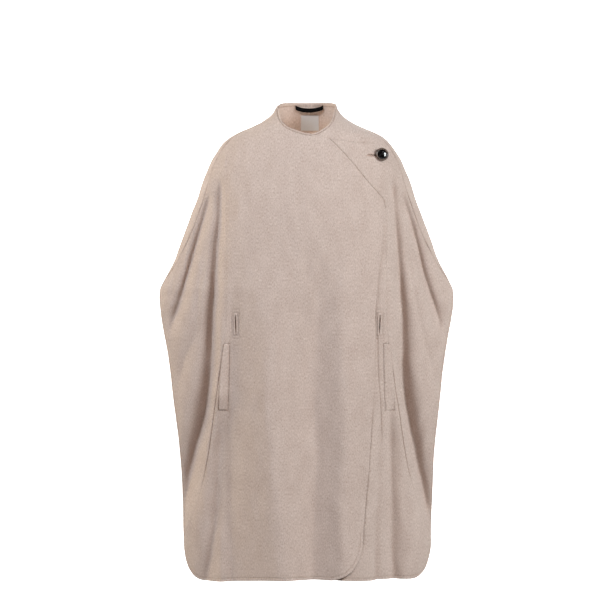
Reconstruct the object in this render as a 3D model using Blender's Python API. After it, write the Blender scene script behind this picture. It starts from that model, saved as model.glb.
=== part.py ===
"""Wool cape with a lapped front, a raglan shoulder tab and open sides.

Every cloth piece is cut from one shared drape: level rings give the hollow form,
folds push the rings in and out, and each pattern piece is an outline laid on that
drape and thickened into a closed wall.  A point of an outline is (arc, height):
the arc runs along the ring from the front or the back centre line.

Metres, +Z up, +X to the left hand of the wearer, the front faces -Y.
The origin is where the shoulders of the wearer hold the cape, at the neck base.
"""

import math

import bmesh
import bpy
import numpy as np
from mathutils import Vector
from mathutils.geometry import delaunay_2d_cdt

# Driving dimensions
WALL = 0.0026               # double-faced wool coating
SEAM_GAP = 0.0003           # between two pieces at a seam, and under what lies on one
LAP_LIFT = WALL + 0.0008    # how far the lapped front stands off the one below it
HEM = -1.076                # the hem below the mount
UNDER_HEM = HEM + 0.005     # the under front is hemmed a little shorter
SIDE_CORNER = 0.085         # radius of the rounded corners at the open sides
LAP_CORNER = 0.072          # radius of the rounded corner of the lapped front
ELBOW = -0.397              # end of the overarm seams: the sides are open below it
UNDER_EDGE = -0.030         # hidden free edge of the under front
NECK_ANGLE = 78.0           # where the overarm seams meet the neckline, in degrees
LIE_GAP = 0.0008            # under what lies on a curved panel
BUTTON_RADIUS = 0.0160
BUTTON_AT = (0.1820, -0.0580)
BUTTON_TURN = 0.55          # how far the button turns from the cloth to face the front
BUTTONHOLE_ENDS = (0.1500, 0.1845)
BUTTONHOLE_WIDTH = 0.0034
SHANK_RADIUS = 0.0011
SLIT_AT = (0.1745, -0.4670)
SLIT_SIZE = (0.0030, 0.0460)
BINDING_SIZE = (0.0150, 0.0600)
BINDING_THICKNESS = 0.0016
WELT_THICKNESS = 0.0024
LABEL_THICKNESS = 0.0006
LABEL_GAP = 0.0008
LOOP_SPAN = 0.060
LOOP_AT = (0.0075, 0.0700)
LOOP_SAG = 0.0065
LOOP_TAPE = (0.0060, 0.0022)
LOOP_GAP = 0.0010
LOOP_STAND_OFF = 0.0065
CREASE_ANGLE = 40.0         # edges sharper than this are shaded sharp, in degrees

# Where the lift of the lapped front begins and ends, inside the hidden edge below it
LAP_RISE = (UNDER_EDGE - 0.090, UNDER_EDGE - 0.020)
# The back and the fronts share their rings at the overarm seams: the folds fade out
# between these two cosines of the angle, and below the elbow within this run
SEAM_CALM = (0.20, 0.46)
CALM_RUN = 0.060
# The open sides run on straight beyond the ring once the gap passes this
OPEN_GAP = 0.003

# Level rings of the drape.
# height, half width, front depth, back depth, fullness, roundness, open side
RINGS = [
    (0.084, 0.062, 0.057, 0.059, 2.0, 2.0, 0.0),
    (0.075, 0.064, 0.058, 0.060, 2.0, 2.0, 0.0),
    (0.060, 0.074, 0.061, 0.063, 2.0, 2.0, 0.0),
    (0.045, 0.085, 0.065, 0.067, 2.0, 2.0, 0.0),
    (0.030, 0.104, 0.070, 0.073, 2.0, 2.0, 0.0),
    (0.015, 0.131, 0.076, 0.082, 2.1, 2.0, 0.0),
    (0.000, 0.168, 0.083, 0.092, 2.2, 2.0, 0.0),
    (-0.015, 0.1925, 0.089, 0.100, 2.3, 2.0, 0.0),
    (-0.030, 0.2075, 0.094, 0.106, 2.3, 1.95, 0.0),
    (-0.045, 0.218, 0.098, 0.110, 2.4, 1.9, 0.0),
    (-0.070, 0.233, 0.105, 0.116, 2.4, 1.8, 0.0),
    (-0.115, 0.252, 0.115, 0.121, 2.4, 1.7, 0.0),
    (-0.165, 0.2685, 0.124, 0.125, 2.4, 1.6, 0.0),
    (-0.240, 0.297, 0.131, 0.127, 2.5, 1.45, 0.0),
    (-0.310, 0.323, 0.134, 0.127, 2.6, 1.3, 0.0),
    (-0.360, 0.348, 0.135, 0.127, 2.6, 1.22, 0.0),
    (-0.385, 0.360, 0.135, 0.127, 2.7, 1.18, 0.0),
    (ELBOW, 0.3612, 0.135, 0.127, 2.7, 1.16, 0.0),
    (-0.412, 0.3605, 0.135, 0.127, 2.7, 1.15, 0.005),
    (-0.460, 0.354, 0.134, 0.127, 2.8, 1.12, 0.012),
    (-0.535, 0.340, 0.134, 0.127, 2.8, 1.1, 0.020),
    (-0.655, 0.325, 0.134, 0.128, 2.9, 1.1, 0.026),
    (-0.800, 0.308, 0.136, 0.131, 3.0, 1.1, 0.028),
    (-0.950, 0.301, 0.139, 0.135, 3.1, 1.1, 0.026),
    (-1.080, 0.297, 0.142, 0.139, 3.2, 1.1, 0.022),
]

# Folds of the front: height, x, depth (inwards), half width
FRONT_FOLDS = {
    "right inner flute": [
        (-0.120, -0.216, 0.000, 0.016), (-0.230, -0.224, 0.012, 0.018),
        (-0.395, -0.230, 0.024, 0.020), (-0.518, -0.234, 0.028, 0.021),
        (-0.644, -0.252, 0.025, 0.021), (-0.764, -0.279, 0.017, 0.020),
        (-0.856, -0.298, 0.008, 0.020), (-0.950, -0.312, 0.000, 0.020)],
    "right outer flute": [
        (-0.165, -0.244, 0.000, 0.016), (-0.247, -0.270, 0.012, 0.019),
        (-0.353, -0.304, 0.024, 0.022), (-0.453, -0.333, 0.020, 0.022),
        (-0.560, -0.352, 0.000, 0.022)],
    "right low flute": [
        (-0.640, -0.204, 0.000, 0.022), (-0.760, -0.212, 0.010, 0.022),
        (-0.927, -0.225, 0.018, 0.022), (-1.080, -0.246, 0.020, 0.024)],
    "right crease": [
        (-0.187, -0.231, 0.000, 0.012), (-0.293, -0.248, 0.004, 0.012),
        (-0.402, -0.270, 0.003, 0.013), (-0.480, -0.280, 0.000, 0.014)],
    "right side shade": [
        (-0.450, -0.280, 0.000, 0.026), (-0.580, -0.301, 0.009, 0.026),
        (-0.677, -0.318, 0.007, 0.024), (-0.780, -0.330, 0.000, 0.024)],
    "right front ridge": [
        (-0.200, -0.190, 0.000, 0.020), (-0.400, -0.198, -0.006, 0.020),
        (-0.640, -0.222, -0.008, 0.020), (-0.900, -0.290, 0.000, 0.024)],
    "left inner flute": [
        (-0.115, 0.215, 0.000, 0.016), (-0.211, 0.220, 0.012, 0.018),
        (-0.390, 0.233, 0.025, 0.020), (-0.511, 0.237, 0.028, 0.021),
        (-0.610, 0.246, 0.026, 0.021), (-0.709, 0.264, 0.021, 0.020),
        (-0.784, 0.279, 0.015, 0.020), (-0.859, 0.292, 0.007, 0.020),
        (-0.950, 0.306, 0.000, 0.020)],
    "left outer flute": [
        (-0.174, 0.250, 0.000, 0.016), (-0.244, 0.267, 0.012, 0.019),
        (-0.327, 0.291, 0.022, 0.022), (-0.451, 0.330, 0.021, 0.022),
        (-0.560, 0.350, 0.000, 0.022)],
    "left low flute": [
        (-0.650, 0.206, 0.000, 0.022), (-0.760, 0.215, 0.010, 0.022),
        (-0.932, 0.221, 0.018, 0.022), (-1.080, 0.229, 0.020, 0.024)],
    "left crease": [
        (-0.200, 0.236, 0.000, 0.012), (-0.317, 0.255, 0.004, 0.012),
        (-0.392, 0.269, 0.003, 0.013), (-0.470, 0.278, 0.000, 0.014)],
    "left side shade": [
        (-0.430, 0.284, 0.000, 0.026), (-0.519, 0.296, 0.009, 0.026),
        (-0.600, 0.306, 0.007, 0.024), (-0.720, 0.320, 0.000, 0.024)],
    "left under flute": [
        (-0.660, 0.176, 0.000, 0.016), (-0.748, 0.178, 0.006, 0.016),
        (-0.827, 0.170, 0.009, 0.018), (-1.080, 0.162, 0.012, 0.020)],
    "front trough": [
        (-0.180, -0.104, 0.000, 0.030), (-0.433, -0.106, 0.005, 0.030),
        (-0.649, -0.107, 0.007, 0.032), (-1.080, -0.087, 0.009, 0.034)],
    "lap trough": [
        (-0.360, 0.072, 0.000, 0.030), (-0.599, 0.056, 0.005, 0.032),
        (-0.721, 0.044, 0.006, 0.032), (-1.080, 0.056, 0.008, 0.034)],
    "front ridge": [
        (-0.600, -0.035, 0.000, 0.034), (-0.800, -0.035, -0.006, 0.036),
        (-1.080, -0.033, -0.008, 0.038)],
}

# Folds of the back, the same kind of flutes: height, x, depth (inwards), half width
BACK_FOLDS = {
    "right inner flute": [
        (-0.190, -0.168, 0.000, 0.020), (-0.380, -0.178, 0.010, 0.024),
        (-0.640, -0.170, 0.020, 0.026), (-0.860, -0.160, 0.022, 0.027),
        (-1.080, -0.158, 0.024, 0.029)],
    "right outer flute": [
        (-0.170, -0.240, 0.000, 0.018), (-0.300, -0.272, 0.014, 0.022),
        (-0.430, -0.298, 0.022, 0.024), (-0.600, -0.288, 0.022, 0.024),
        (-0.820, -0.262, 0.018, 0.024), (-1.080, -0.236, 0.016, 0.026)],
    "left inner flute": [
        (-0.210, 0.160, 0.000, 0.020), (-0.400, 0.166, 0.011, 0.024),
        (-0.640, 0.164, 0.019, 0.026), (-0.860, 0.170, 0.024, 0.028),
        (-1.080, 0.176, 0.025, 0.030)],
    "left outer flute": [
        (-0.180, 0.246, 0.000, 0.018), (-0.310, 0.276, 0.015, 0.022),
        (-0.430, 0.302, 0.021, 0.024), (-0.620, 0.284, 0.021, 0.024),
        (-0.840, 0.256, 0.019, 0.025), (-1.080, 0.240, 0.015, 0.026)],
    "centre trough": [
        (-0.300, 0.052, 0.000, 0.032), (-0.620, 0.060, 0.006, 0.034),
        (-1.080, 0.066, 0.012, 0.036)],
    "centre ridge": [
        (-0.360, -0.050, 0.000, 0.036), (-0.700, -0.056, -0.007, 0.038),
        (-1.080, -0.060, -0.012, 0.040)],
}

# Neckline: angle from the front centre in degrees, height
NECKLINE = [
    (-8.0, -0.020), (0.0, -0.0135), (3.0, -0.0085), (13.0, 0.0040), (28.0, 0.0230),
    (49.0, 0.0440), (71.0, 0.0660), (90.0, 0.0740), (120.0, 0.0775), (180.0, 0.0790),
]

# Overarm seams: height, angle from the front centre in degrees
OVERARM = [
    (0.090, NECK_ANGLE), (0.060, NECK_ANGLE), (0.030, 76.0), (0.000, 71.0),
    (-0.050, 74.0), (-0.225, 76.0), (-0.310, 82.0), (ELBOW, 90.0),
]

# Princess seams: height, distance from the centre line
PRINCESS = [
    (0.020, 0.192), (-0.240, 0.192), (-0.480, 0.195), (-0.536, 0.201), (-0.600, 0.212),
    (-0.682, 0.224), (-0.783, 0.238), (-0.834, 0.249), (-0.886, 0.263),
    (-0.952, 0.288), (-1.000, 0.312),
]

# Centre back seam: height, x
CENTRE_BACK = [(0.090, 0.008), (0.000, 0.008), (-0.180, 0.000), (-1.100, 0.000)]

# Free edge of the lapped front, down from the foot of the shoulder tab: height, x
LAP_EDGE = [
    (-0.188, 0.1895), (-0.254, 0.1835), (-0.304, 0.1785), (-0.357, 0.1720),
    (-0.410, 0.1675), (-0.450, 0.1640), (-0.513, 0.1640), (-0.573, 0.1625),
    (-0.637, 0.1590), (-0.697, 0.1555), (-0.803, 0.1485), (-0.879, 0.1415),
    (-0.949, 0.1355), (-1.076, 0.1280),
]

# Outline of the shoulder tab: x, height
LAP_TOP = [(0.0110, -0.0140), (0.0330, -0.0180), (0.0570, -0.0216)]
TAB_TOP = [
    (0.0570, -0.0216), (0.0980, -0.0272), (0.1310, -0.0308), (0.1640, -0.0325),
    (0.1960, -0.0400),
]
TAB_SIDE = [
    (0.2075, -0.0560), (0.2110, -0.0800), (0.2080, -0.1080), (0.2000, -0.1400),
    (0.1975, -0.1600), (0.1955, -0.1740), (0.1895, -0.1880),
]
DIAGONAL = [
    (0.0570, -0.0216), (0.0905, -0.0560), (0.1200, -0.0895), (0.1430, -0.1158),
    (0.1580, -0.1342), (0.1770, -0.1725), (0.1895, -0.1880),
]
# Hidden top of the under front, from the notch of the neckline: x, height
UNDER_TOP = [(0.0110, -0.0085), (0.0030, -0.0190), (-0.0100, -0.0300), (-0.0300, -0.0450)]
# Sides of a pocket welt, distance from the centre line and height
WELT_INNER = [(0.1860, -0.5145), (0.1885, -0.6000), (0.1925, -0.6750)]
WELT_OUTER = [(0.1965, -0.5145), (0.2055, -0.5900), (0.2130, -0.6750)]
# Button: distance from the axis, height over its back
BUTTON_PROFILE = [
    (0.0120, 0.0000), (0.0150, 0.0006), (0.0160, 0.0020), (0.0160, 0.0034),
    (0.0150, 0.0048), (0.0128, 0.0052), (0.0112, 0.0044), (0.0100, 0.0034),
    (0.0060, 0.0040),
]
BUTTON_CROWN = 0.0044

# Spacing of the lattice that fills each piece
ROWS = [
    0.070, 0.062, 0.054, 0.046, 0.038, 0.030, 0.022, 0.014, 0.006, -0.002, -0.010,
    -0.019, -0.029, -0.041, -0.055, -0.071, -0.090, -0.112, -0.136, -0.162, -0.190,
    -0.220, -0.250, -0.280, -0.310, -0.340, -0.370, -0.400, -0.432, -0.466, -0.500,
    -0.534, -0.568, -0.602, -0.636, -0.670, -0.704, -0.738, -0.772, -0.806, -0.840,
    -0.874, -0.908, -0.942, -0.976, -1.010, -1.040,
]
COLLAR_FLOOR = -0.022
MIDDLE_STEP = 0.0292
MIDDLE_HALF = 0.150
OUTER_STEP = 0.0150
OUTER_HALF = 0.450
EDGE_STEP = 0.020
FINE_STEP = 0.014
SHOULDER_STEP = 0.012
SHOULDER_LEVEL = -0.100
NECK_STEP = 6.0             # degrees
SLOT_STEP = 0.009
MARGIN = 0.0065             # between an outline and the lattice points inside it
NORMAL_REACH = 0.0040
SNIP = 0.002                # corners snipped off a slit binding
UNDER_NECK_START = 4.0      # where the under front leaves the neckline, in degrees
BACK_SEAM_BEND = -0.180     # the centre back seam runs straight down from here
TIP_SHARE = 0.25            # blunt end of a piece that runs into a sharp tip
LOOP_POINTS = 13
ROUND_SIDES = 24
ARC_SAMPLES = 121

# The label lies on the lattice of the neck: its arcs and heights
LABEL_ARCS = [-MIDDLE_STEP, -0.5 * MIDDLE_STEP, 0.0, 0.5 * MIDDLE_STEP]
LABEL_HEIGHTS = [0.006, 0.014, 0.022, 0.030, 0.038, 0.046]

# Base colours in sRGB
WOOL = "#C4B3A7"
HORN = "#17120F"
LOOP_BLACK = "#14110F"
SATIN = "#8E8681"


def clear_scene():
    """Remove what the scene holds before the garment is made."""
    for old in list(bpy.data.objects):
        bpy.data.objects.remove(old, do_unlink=True)


def linear_colour(text):
    """Turn a sRGB hex colour into linear red, green, blue, alpha."""
    values = [int(text[i:i + 2], 16) / 255.0 for i in (1, 3, 5)]
    linear = [v / 12.92 if v <= 0.04045 else ((v + 0.055) / 1.055) ** 2.4 for v in values]
    return (*linear, 1.0)


def make_material(name, colour, roughness, sheen=0.0):
    """Make the Principled material of one piece."""
    material = bpy.data.materials.new(name)
    material.use_nodes = True
    shader = material.node_tree.nodes["Principled BSDF"]
    shader.inputs["Base Color"].default_value = linear_colour(colour)
    shader.inputs["Roughness"].default_value = roughness
    shader.inputs["Metallic"].default_value = 0.0
    shader.inputs["Sheen Weight"].default_value = sheen
    return material


def smooth_step(value, low, high):
    """Rise from 0 at low to 1 at high."""
    t = np.clip((value - low) / (high - low), 0.0, 1.0)
    return t * t * (3.0 - 2.0 * t)


def follow(rows, column, at):
    """Read a column of a table at heights by a smooth curve through its rows."""
    order = sorted(rows, key=lambda row: row[0])
    keys = np.array([row[0] for row in order])
    values = np.array([row[column] for row in order])
    widths = np.diff(keys)
    slopes = np.diff(values) / widths
    rising = slopes[:-1] * slopes[1:] > 0.0
    total = np.where(rising, slopes[:-1] + slopes[1:], 1.0)
    between = np.where(rising, 2.0 * slopes[:-1] * slopes[1:] / total, 0.0)
    tangents = np.concatenate([slopes[:1], between, slopes[-1:]])
    at = np.clip(at, keys[0], keys[-1])
    cell = np.clip(np.searchsorted(keys, at) - 1, 0, len(widths) - 1)
    width = widths[cell]
    t = (at - keys[cell]) / width
    rest = 1.0 - t
    start = (values[cell] * (1.0 + 2.0 * t) + tangents[cell] * width * t) * rest * rest
    end = (values[cell + 1] * (3.0 - 2.0 * t) - tangents[cell + 1] * width * rest) * t * t
    return start + end


def fold_depth(folds, x, height):
    """Add up how far the folds push the cloth in at each point."""
    depth = np.zeros_like(x)
    for rows in folds.values():
        low = min(row[0] for row in rows)
        high = max(row[0] for row in rows)
        inside = (height >= low) & (height <= high)
        away = (x - follow(rows, 1, height)) / follow(rows, 3, height)
        depth += np.where(inside, follow(rows, 2, height) * np.exp(-away * away), 0.0)
    return depth


def ring_point(angle, height):
    """Return the drape's outer point at an angle from the front centre line."""
    half, front, back, full, roundness, gap = (follow(RINGS, k, height) for k in range(1, 7))
    x = half * np.sin(angle)
    facing = np.cos(angle)
    bulge = np.clip(1.0 - np.abs(np.sin(angle)) ** full, 0.0, 1.0) ** (1.0 / roundness)
    closed = smooth_step(height, ELBOW - CALM_RUN, ELBOW)
    strength = 1.0 - closed * (1.0 - smooth_step(np.abs(facing), *SEAM_CALM))
    front_y = -gap - (front - gap) * bulge + strength * fold_depth(FRONT_FOLDS, x, height)
    back_y = gap + (back - gap) * bulge - strength * fold_depth(BACK_FOLDS, x, height)
    return np.stack([x, np.where(facing >= 0.0, front_y, back_y), height], axis=-1)


def plain_arcs(height, from_back):
    """Return angles and arc lengths along the unfolded ring at each height."""
    half, front, back, full, roundness = (follow(RINGS, k, height)[:, None] for k in range(1, 6))
    angles = np.linspace(0.0, math.pi, ARC_SAMPLES)
    sine = np.sin(angles)[None, :]
    bulge = np.clip(1.0 - sine ** full, 0.0, 1.0) ** (1.0 / roundness)
    near, far = (back, front) if from_back else (front, back)
    depth = np.where(np.cos(angles) >= 0.0, near, -far) * bulge
    steps = np.hypot(np.diff(half * sine, axis=1), np.diff(depth, axis=1))
    lengths = np.concatenate([np.zeros((len(height), 1)), np.cumsum(steps, axis=1)], axis=1)
    return angles, lengths


def angle_of_arc(arc, height, from_back):
    """Find the angle from the front or back centre at which an arc length is reached."""
    angles, lengths = plain_arcs(height, from_back)
    wanted = np.abs(arc)
    found = np.array([np.interp(w, row, angles) for w, row in zip(wanted, lengths)])
    return np.sign(arc) * found


def arc_of_angle(angle, height, from_back=False):
    """Return the arc length from the front or back centre to an angle."""
    angle = np.atleast_1d(np.asarray(angle, dtype=float))
    height = np.atleast_1d(np.asarray(height, dtype=float))
    angles, lengths = plain_arcs(height, from_back)
    found = np.array([np.interp(a, angles, row) for a, row in zip(np.abs(angle), lengths)])
    return np.sign(angle) * found


def arc_of_x(x, height, from_back=False):
    """Return the arc length to the point of a ring that lies at x."""
    x = np.atleast_1d(np.asarray(x, dtype=float))
    height = np.atleast_1d(np.asarray(height, dtype=float))
    ratio = np.clip(x / follow(RINGS, 1, height), -1.0, 1.0)
    angle = np.arcsin(ratio)
    return arc_of_angle(-angle if from_back else angle, height, from_back)


def drape(pattern, from_back):
    """Lay pattern points (arc, height) on the drape's outer side."""
    arc = pattern[:, 0]
    height = pattern[:, 1]
    end = arc_of_angle(np.full(len(height), 0.5 * math.pi), height, from_back)
    open_side = smooth_step(follow(RINGS, 6, height), 0.0, OPEN_GAP)
    turn = math.pi if from_back else 0.0

    def at_arc(length):
        """Return the ring's points at arc lengths."""
        return ring_point(turn + angle_of_arc(length, height, from_back), height)

    around = at_arc(arc)
    excess = np.maximum(np.abs(arc) - end, 0.0)
    at_edge = at_arc(np.sign(arc) * (end - 1e-5))
    heading = at_edge - at_arc(np.sign(arc) * (end - 2e-3))
    heading /= np.linalg.norm(heading, axis=1)[:, None] + 1e-12
    straight = at_edge + heading * excess[:, None]
    weight = np.where(excess > 0.0, open_side, 0.0)[:, None]
    return around * (1.0 - weight) + straight * weight


def drape_normals(pattern, from_back):
    """Return the drape's outward directions at pattern points."""
    aside = (NORMAL_REACH, 0.0)
    above = (0.0, NORMAL_REACH)
    across = drape(pattern + aside, from_back) - drape(pattern - aside, from_back)
    up = drape(pattern + above, from_back) - drape(pattern - above, from_back)
    normals = np.cross(across, up)
    return normals / (np.linalg.norm(normals, axis=1)[:, None] + 1e-12)


def spread(points, step):
    """Walk a smooth curve through control points with even steps."""
    points = np.asarray(points, dtype=float)
    chords = np.linalg.norm(np.diff(points, axis=0), axis=1)
    keys = np.concatenate([[0.0], np.cumsum(chords)])
    count = max(2, int(round(keys[-1] / step)) + 1)
    at = np.linspace(0.0, keys[-1], count)
    return np.stack([follow(list(zip(keys, points[:, k])), 1, at) for k in (0, 1)], axis=1)


def heights_between(top, bottom):
    """Space heights between two ends, closer together near the shoulders."""
    length = abs(top - bottom)
    step = SHOULDER_STEP if top > SHOULDER_LEVEL else EDGE_STEP
    return np.linspace(top, bottom, max(2, int(round(length / step)) + 1))


def overarm_line(side, top, bottom, from_back=False):
    """Follow an overarm seam down, as a pattern line of a front or a back piece."""
    heights = heights_between(top, bottom)
    angles = np.radians(follow(OVERARM, 1, heights))
    if from_back:
        return np.stack([-side * arc_of_angle(math.pi - angles, heights, True), heights], axis=1)
    return np.stack([side * arc_of_angle(angles, heights), heights], axis=1)


def crossing_height(difference, high, low):
    """Find the height between two others at which a rising difference passes zero."""
    for _ in range(40):
        middle = 0.5 * (high + low)
        if difference(np.array([middle]))[0] < 0.0:
            high = middle
        else:
            low = middle
    return middle


def princess_ends():
    """Find the heights at which a princess seam meets the overarm seam and the side."""
    def over_arm(height):
        """Return how far the overarm seam lies outside the princess seam."""
        angle = np.radians(follow(OVERARM, 1, height))
        return follow(RINGS, 1, height) * np.sin(angle) - follow(PRINCESS, 1, height)

    def past_side(height):
        """Return how far the princess seam lies outside the side."""
        return follow(PRINCESS, 1, height) - follow(RINGS, 1, height)

    return crossing_height(over_arm, 0.0, -0.060), crossing_height(past_side, -0.930, -1.000)


def princess_line(side):
    """Follow a princess seam down."""
    heights = heights_between(*princess_ends())
    return np.stack([arc_of_x(side * follow(PRINCESS, 1, heights), heights), heights], axis=1)


def side_line(side, top, bottom, from_back=False):
    """Follow an open side edge down."""
    heights = heights_between(top, bottom)
    arcs = arc_of_angle(np.full(len(heights), 0.5 * math.pi), heights, from_back)
    flip = -1.0 if from_back else 1.0
    return np.stack([flip * side * arcs, heights], axis=1)


def neck_line(side, start, end, from_back=False):
    """Follow the neckline between two angles from the front centre, in degrees."""
    count = max(3, int(abs(end - start) / NECK_STEP) + 2)
    degrees = np.linspace(start, end, count)
    heights = follow(NECKLINE, 1, degrees)
    angles = np.radians(degrees)
    if from_back:
        return np.stack([-side * arc_of_angle(math.pi - angles, heights, True), heights], axis=1)
    return np.stack([side * arc_of_angle(angles, heights), heights], axis=1)


def round_corner(corner, start, end, radius):
    """Round the corner between two directions, given as unit steps away from it."""
    corner = np.asarray(corner, dtype=float)
    centre = corner + radius * (np.asarray(start) + np.asarray(end))
    count = max(4, int(round(0.5 * math.pi * radius / FINE_STEP)) + 1)
    turns = np.linspace(0.0, 0.5 * math.pi, count)
    return np.array([
        centre - radius * (math.cos(t) * np.asarray(end) + math.sin(t) * np.asarray(start))
        for t in turns])


def level_line(start, end, height):
    """Follow a level hem from one arc to another."""
    count = max(2, int(round(abs(end - start) / EDGE_STEP)) + 1)
    return np.stack([np.linspace(start, end, count), np.full(count, height)], axis=1)


def front_line(points, side=1.0, step=EDGE_STEP):
    """Lay a curve given as (x, height) on the front's pattern."""
    walked = spread(points, step)
    return np.stack([arc_of_x(side * walked[:, 0], walked[:, 1]), walked[:, 1]], axis=1)


def join(*lines):
    """Chain lines end to end into one closed outline without doubled points."""
    points = join_open(*lines)
    meets = np.linalg.norm(points[0] - points[-1]) < 1e-4
    return points[:-1] if meets else points


def join_open(*lines):
    """Chain lines end to end without doubled points."""
    points = []
    for line in lines:
        points += [p for p in line if not points or np.linalg.norm(p - points[-1]) > 1e-4]
    return np.array(points)


def signed_area(outline):
    """Return the area inside an outline, positive when it runs anticlockwise."""
    following = np.roll(outline, -1, axis=0)
    return 0.5 * np.sum(outline[:, 0] * following[:, 1] - following[:, 0] * outline[:, 1])


def inset(outline, distance):
    """Draw an outline in by a distance."""
    if signed_area(outline) < 0.0:
        outline = outline[::-1]
    ahead = np.roll(outline, -1, axis=0) - outline
    ahead /= np.linalg.norm(ahead, axis=1)[:, None]
    behind = np.roll(ahead, 1, axis=0)
    inward = np.stack([-ahead[:, 1] - behind[:, 1], ahead[:, 0] + behind[:, 0]], axis=1)
    length = np.linalg.norm(inward, axis=1)[:, None]
    inward /= np.maximum(length, 1e-9)
    stretch = np.minimum(2.0 / np.maximum(length, 0.7), 2.5)
    return outline + inward * distance * stretch


def inside_outline(points, outline):
    """Tell which points lie inside an outline."""
    x, y = points[:, 0][:, None], points[:, 1][:, None]
    x0, y0 = outline[:, 0][None, :], outline[:, 1][None, :]
    x1, y1 = np.roll(outline[:, 0], -1)[None, :], np.roll(outline[:, 1], -1)[None, :]
    spans = (y0 > y) != (y1 > y)
    rise = np.where(y1 == y0, 1e-12, y1 - y0)
    crossing = spans & (x < x0 + (y - y0) / rise * (x1 - x0))
    return crossing.sum(axis=1) % 2 == 1


def distance_to_outline(points, outline):
    """Return each point's distance from an outline."""
    start = outline[None, :, :]
    run = (np.roll(outline, -1, axis=0) - outline)[None, :, :]
    t = np.sum((points[:, None, :] - start) * run, axis=2) / np.sum(run * run, axis=2)
    nearest = start + np.clip(t, 0.0, 1.0)[:, :, None] * run
    return np.linalg.norm(points[:, None, :] - nearest, axis=2).min(axis=1)


def lattice():
    """Return the pattern points that fill the pieces."""
    middle = np.arange(0.0, MIDDLE_HALF + 1e-6, MIDDLE_STEP)
    outer = np.arange(middle[-1] + OUTER_STEP, OUTER_HALF, OUTER_STEP)
    half = np.concatenate([middle, outer])
    columns = np.concatenate([-half[:0:-1], half])
    grid = np.stack(np.meshgrid(columns, np.array(ROWS)), axis=-1).reshape(-1, 2)
    between = np.concatenate([-middle[1:] + 0.5 * MIDDLE_STEP, middle[1:] - 0.5 * MIDDLE_STEP])
    high_rows = np.array([row for row in ROWS if row > COLLAR_FLOOR])
    collar = np.stack(np.meshgrid(between, high_rows), axis=-1).reshape(-1, 2)
    return np.concatenate([grid, collar])


def fill_pattern(outline, holes):
    """Fill an outline with lattice points and triangles, leaving its holes open."""
    points = lattice()
    points = points[inside_outline(points, outline)]
    points = points[distance_to_outline(points, outline) > MARGIN]
    for hole in holes:
        points = points[~inside_outline(points, hole)]
        points = points[distance_to_outline(points, hole) > 0.5 * MARGIN]
    loops = [outline, *holes]
    coordinates = np.concatenate([*loops, points])
    edges = []
    start = 0
    for loop in loops:
        count = len(loop)
        edges += [(start + k, start + (k + 1) % count) for k in range(count)]
        start += count
    vectors = [Vector(point) for point in coordinates]
    found = delaunay_2d_cdt(vectors, edges, [], 1, 1e-7)
    pattern = np.array([tuple(v) for v in found[0]])
    triangles = np.array([tuple(face) for face in found[2]])
    for hole in holes:
        triangles = triangles[~inside_outline(pattern[triangles].mean(axis=1), hole)]
    return pattern, [tuple(int(k) for k in face) for face in triangles]


def close_wall(name, outer, inner, triangles, material):
    """Join an outer and an inner skin along their border into one closed wall."""
    count = len(outer)
    faces = [tuple(face) for face in triangles]
    faces += [tuple(count + k for k in reversed(face)) for face in triangles]
    directed = {(face[k], face[(k + 1) % 3]) for face in triangles for k in range(3)}
    faces += [(b, a, count + a, count + b) for a, b in directed if (b, a) not in directed]
    mesh = bpy.data.meshes.new(name)
    mesh.from_pydata([tuple(p) for p in np.concatenate([outer, inner])], [], faces)
    mesh.update()
    return add_object(name, mesh, material)


def add_object(name, mesh, material):
    """Put a mesh in the scene under its name, shaded smooth up to its sharp edges."""
    mesh.materials.append(material)
    mesh.shade_smooth()
    mesh.set_sharp_from_angle(angle=math.radians(CREASE_ANGLE))
    made = bpy.data.objects.new(name, mesh)
    bpy.context.scene.collection.objects.link(made)
    return made


def lap_lift(pattern):
    """Stand off where the lapped front covers the under front."""
    return LAP_LIFT * smooth_step(drape(pattern, False)[:, 0], *LAP_RISE)


def cut_piece(name, outline, material, from_back=False, lapped=False, raised=0.0,
              wall=WALL, holes=()):
    """Cut a pattern piece out of the drape and thicken it into a closed wall."""
    outline = inset(outline, 0.5 * SEAM_GAP)
    pattern, triangles = fill_pattern(outline, list(holes))
    normals = drape_normals(pattern, from_back)
    level = np.full(len(pattern), raised)
    if lapped:
        level += lap_lift(pattern)
    outer = drape(pattern, from_back) + normals * level[:, None]
    return close_wall(name, outer, outer - normals * wall, triangles, material)


def slot(centre, width, length, upright=True):
    """Return a round-ended slot on the front pattern, around an (arc, height) point."""
    half = 0.5 * width
    run = 0.5 * length - half
    turns = np.radians([-90.0, -45.0, 0.0, 45.0, 90.0])
    side = [(x, half) for x in np.linspace(run, -run, 2 + int(length / SLOT_STEP))[1:-1]]
    right = [(run + half * math.cos(t), half * math.sin(t)) for t in turns] + side
    points = np.array(right + [(-x, -y) for x, y in right])
    if upright:
        points = points[:, ::-1] * (1.0, -1.0)
    return points + centre


def frame_outline(centre, width, height):
    """Return a rectangle with snipped corners around an (arc, height) point."""
    a = 0.5 * width
    b = 0.5 * height
    short_a = a - SNIP
    short_b = b - SNIP
    corners = [(-short_a, -b), (short_a, -b), (a, -short_b), (a, short_b),
               (short_a, b), (-short_a, b), (-a, short_b), (-a, -short_b)]
    return np.array(corners) + centre


def front_point(x, height):
    """Return the (arc, height) point of the front at x."""
    return np.array([arc_of_x(x, height)[0], height])


def trim(line):
    """Cut a blunt end off both ends of a line that runs into a sharp tip."""
    first = line[0] + TIP_SHARE * (line[1] - line[0])
    last = line[-1] + TIP_SHARE * (line[-2] - line[-1])
    return np.concatenate([[first], line[1:-1], [last]])


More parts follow.
